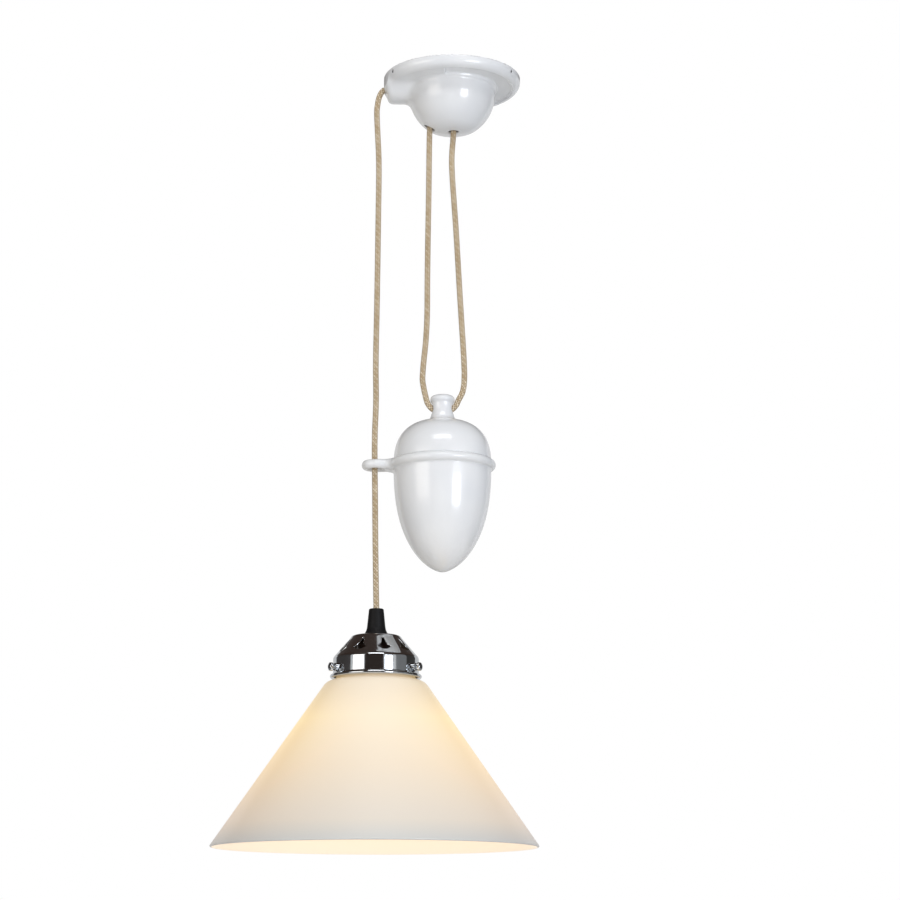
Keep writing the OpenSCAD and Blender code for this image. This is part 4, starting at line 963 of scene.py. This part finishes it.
# %% Metals and small pieces
for slot, name, low, high, rough, scale, height in (
    ("zinc_steel", "zinc_plated_steel", "#A9AEB2", "#C6CACC", (0.32, 0.5), 220, 0.03),
    ("steel_screw", "turned_steel", "#B4B6B8", "#CFD0D1", (0.2, 0.34), 500, 0.03),
    ("brass", "turned_brass", "#B08A42", "#D3AE63", (0.2, 0.38), 300, 0.03),
    ("lead", "cast_lead_shot", "#5C5F63", "#7C8085", (0.45, 0.65), 450, 0.03),
    ("bulb_metal", "nickel_plated_cap", "#B9B5AC", "#CFCBC2", (0.22, 0.36), 400, 0.03),
    ("tungsten", "drawn_tungsten", "#6A6660", "#8A857C", (0.4, 0.5), 900, 0.03),
    ("rubber_black", "moulded_rubber", "#141414", "#222222", 0.6, 700, 0.04),
    ("white_nylon", "moulded_nylon", "#DCD9CF", "#E9E7DF", 0.45, 300, 0.02),
    ("core_sleeve", "core_insulation", "#5A3E30", "#6B4C3B", 0.5, 400, 0.02),
    ("cement", "plaster_cement", "#B7B2A6", "#CBC6BA", 0.9, 500, 0.2),
    ("felt", "pressed_wool_felt", "#6F6B66", "#8D8983", 0.95, 900, 0.3),
    ("porcelain", "unglazed_porcelain", "#E2DED4", "#EFECE4", 0.5, 200, 0.03),
):
    is_metal = isinstance(rough, tuple)
    finish[slot], tree, shader = new_material(name, {"Metallic": 1} if is_metal else {"Roughness": rough, "IOR": 1.5})
    where = add(tree, "ShaderNodeTexCoord").outputs["Object"]
    grain = add(tree, "ShaderNodeTexNoise", {"Vector": where, "Scale": scale, "Detail": 3}).outputs[0]
    light = add(tree, "ShaderNodeMapRange", {0: grain, 1: 0.3, 2: 0.7}).outputs[0]
    tone = add(tree, "ShaderNodeMix", {0: light, 6: low, 7: high}, data_type="RGBA").outputs[2]
    uneven = add(tree, "ShaderNodeBump", {"Height": grain, "Distance": height * MM}).outputs[0]
    feed(shader, {"Base Color": tone, "Normal": uneven})
    if is_metal:
        dull = add(tree, "ShaderNodeMapRange", {0: grain, 1: 0.3, 2: 0.7, 3: rough[0], 4: rough[1]}).outputs[0]
        feed(shader, {"Roughness": dull})

# %% Every piece gets its finish
NODE_FINISH = {
    "zinc_steel": "back_plate pulley_yoke",
    "steel_screw": "grub_screws pulley_axle yoke_screws clamp_screws",
    "rubber_black": "supply_grommet",
    "brass": "earth_screw rose_pulley pulley_bush terminal_screws nipple lock_nut insert_screws thread_shell "
    "centre_contact bulb_contact",
    "white_nylon": "cord_clamp_block cord_clamp_saddle terminal_block",
    "core_sleeve": "core_leads lamp_cores",
    "cord_braid": "lamp_cord_end",
    "cement": "cement_ring",
    "lead": "lead_shot",
    "felt": "felt_wad",
    "bakelite": "lampholder_cap lampholder_body",
    "porcelain": "lampholder_insert bulb_stem",
    "bulb_metal": "bulb_cap",
    "tungsten": "bulb_filament",
}


def dress(piece, slot):
    if not piece.material_slots:
        piece.data.materials.append(finish[slot])
    for place in piece.material_slots:
        place.material = finish[slot]


for slot, names in NODE_FINISH.items():
    for name in names.split():
        dress(frame["nodes"][name], slot)
for piece in list(scene.objects):
    if "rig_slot" in piece:
        dress(piece, piece["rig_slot"])
print("finishes:", len(finish))

# %% [markdown]
# ## Studio
#
# A white background and a plain pale floor, well below the lamp. The light is soft: an even sky at a plain level, a
# broad panel from the left and a cooler, smaller one from the right, which draws the highlights down the china. Chrome
# shows whatever stands round it, and in the photograph that is a dark room. So dark cards stand behind the camera and
# round the sides, out of sight of the camera itself, with the panels shining between them. A weak panel lights the
# back, and the floor gives off a little light towards the camera alone, so that it stays pale in every view.

# %% Background
world = bpy.data.worlds.new("studio")
scene.world = world
world.use_nodes = True
sky = world.node_tree
sky.nodes.clear()
rays = add(sky, "ShaderNodeLightPath")
white_seen = add(sky, "ShaderNodeMath", {
    0: rays.outputs["Is Camera Ray"], 1: rays.outputs["Is Transmission Ray"],
}, operation="MAXIMUM").outputs[0]
SKY_LEVEL, MIRRORED_LEVEL = 0.45, 0.7
level = add(sky, "ShaderNodeMapRange", {0: rays.outputs["Is Glossy Ray"], 3: SKY_LEVEL, 4: MIRRORED_LEVEL}).outputs[0]
level = add(sky, "ShaderNodeMapRange", {0: white_seen, 3: level}).outputs[0]
backdrop = add(sky, "ShaderNodeBackground", {"Color": (1, 1, 1, 1), "Strength": level})
add(sky, "ShaderNodeOutputWorld", {"Surface": backdrop.outputs[0]})

# %% Floor and cards
def card(name, centre, width, height, facing, material):
    """A flat panel whose face looks along facing, an angle about the vertical in degrees."""
    mesh = bpy.data.meshes.new(name)
    w, h = width / 2, height / 2
    mesh.from_pydata([(-w, 0, -h), (w, 0, -h), (w, 0, h), (-w, 0, h)], [], [(0, 1, 2, 3)])
    mesh.materials.append(material)
    panel = bpy.data.objects.new(name, mesh)
    panel.location = centre
    panel.rotation_euler = (0, 0, math.radians(facing))
    scene.collection.objects.link(panel)
    return panel


floor_paint, tree, shader = new_material("pale_floor", {
    "Roughness": 0.8, "Base Color": "#ECECEA", "Emission Color": (1, 1, 1, 1),
})
seen = add(tree, "ShaderNodeLightPath").outputs["Is Camera Ray"]
FLOOR_GLOW = 0.42
glow = add(tree, "ShaderNodeMapRange", {0: seen, 4: FLOOR_GLOW}).outputs[0]
feed(shader, {"Emission Strength": glow})
floor = card("floor", (0, 0, -2.3), 14, 14, 0, floor_paint)
floor.rotation_euler = (math.radians(90), 0, 0)
for name, centre, width, height, facing, tone in (
    ("card_front", (-0.31, -3.6, -0.6), 3.4, 5.0, 0, "#2E241F"),
    ("card_right", (3.4, -1.1, -0.6), 2.4, 5.0, -90, "#7C7D7E"),
    ("card_right_rear", (3.4, 1.6, -0.6), 3.0, 5.0, -90, "#3A3836"),
    ("card_left", (-3.6, 0.9, -0.6), 4.4, 5.0, 90, "#3E3A38"),
    ("card_above", (0.0, 0.0, 1.5), 8.0, 8.0, 0, "#3A2D26"),
):
    paint = new_material(name, {"Base Color": (0, 0, 0, 1), "Emission Color": tone, "Emission Strength": 1})[0]
    panel = card(name, centre, width, height, facing, paint)
    if name == "card_above":
        panel.rotation_euler = (math.radians(90), 0, 0)
    panel.visible_camera = False
    panel.visible_diffuse = False
    panel.visible_shadow = False

# %% Lamps
def softbox(name, centre, aim, width, height, power, tint):
    """A rectangular lamp at centre that points at aim."""
    lamp = bpy.data.lights.new(name, "AREA")
    lamp.shape = "RECTANGLE"
    lamp.size, lamp.size_y = width, height
    lamp.energy = power
    lamp.color = colour(tint)[:3]
    box = bpy.data.objects.new(name, lamp)
    box.location = centre
    way = np.array(aim) - np.array(centre)
    flat = math.hypot(way[0], way[1])
    box.rotation_euler = (math.atan2(flat, -way[2]), 0, math.atan2(way[1], way[0]) - math.pi / 2)
    scene.collection.objects.link(box)
    return box


softbox("panel_left", (-2.6, -2.4, -0.1), (0, 0, -0.5), 1.9, 1.6, 18, "#FFF6EC")
softbox("panel_right", (1.5, -2.2, -0.6), (0, 0, -0.5), 0.9, 0.9, 25, "#EDF3FF")
softbox("panel_front", (-0.1, -2.0, -0.8), (0, 0, -0.5), 0.7, 0.7, 6, "#FFFFFF").visible_glossy = False
softbox("panel_back", (0.4, 2.6, -0.3), (0, 0, -0.5), 1.2, 1.2, 16, "#F4F6FF").visible_glossy = False
softbox("panel_top", (0.0, -1.6, 1.2), (0, 0, -0.4), 1.5, 0.5, 14, "#FFFFFF")
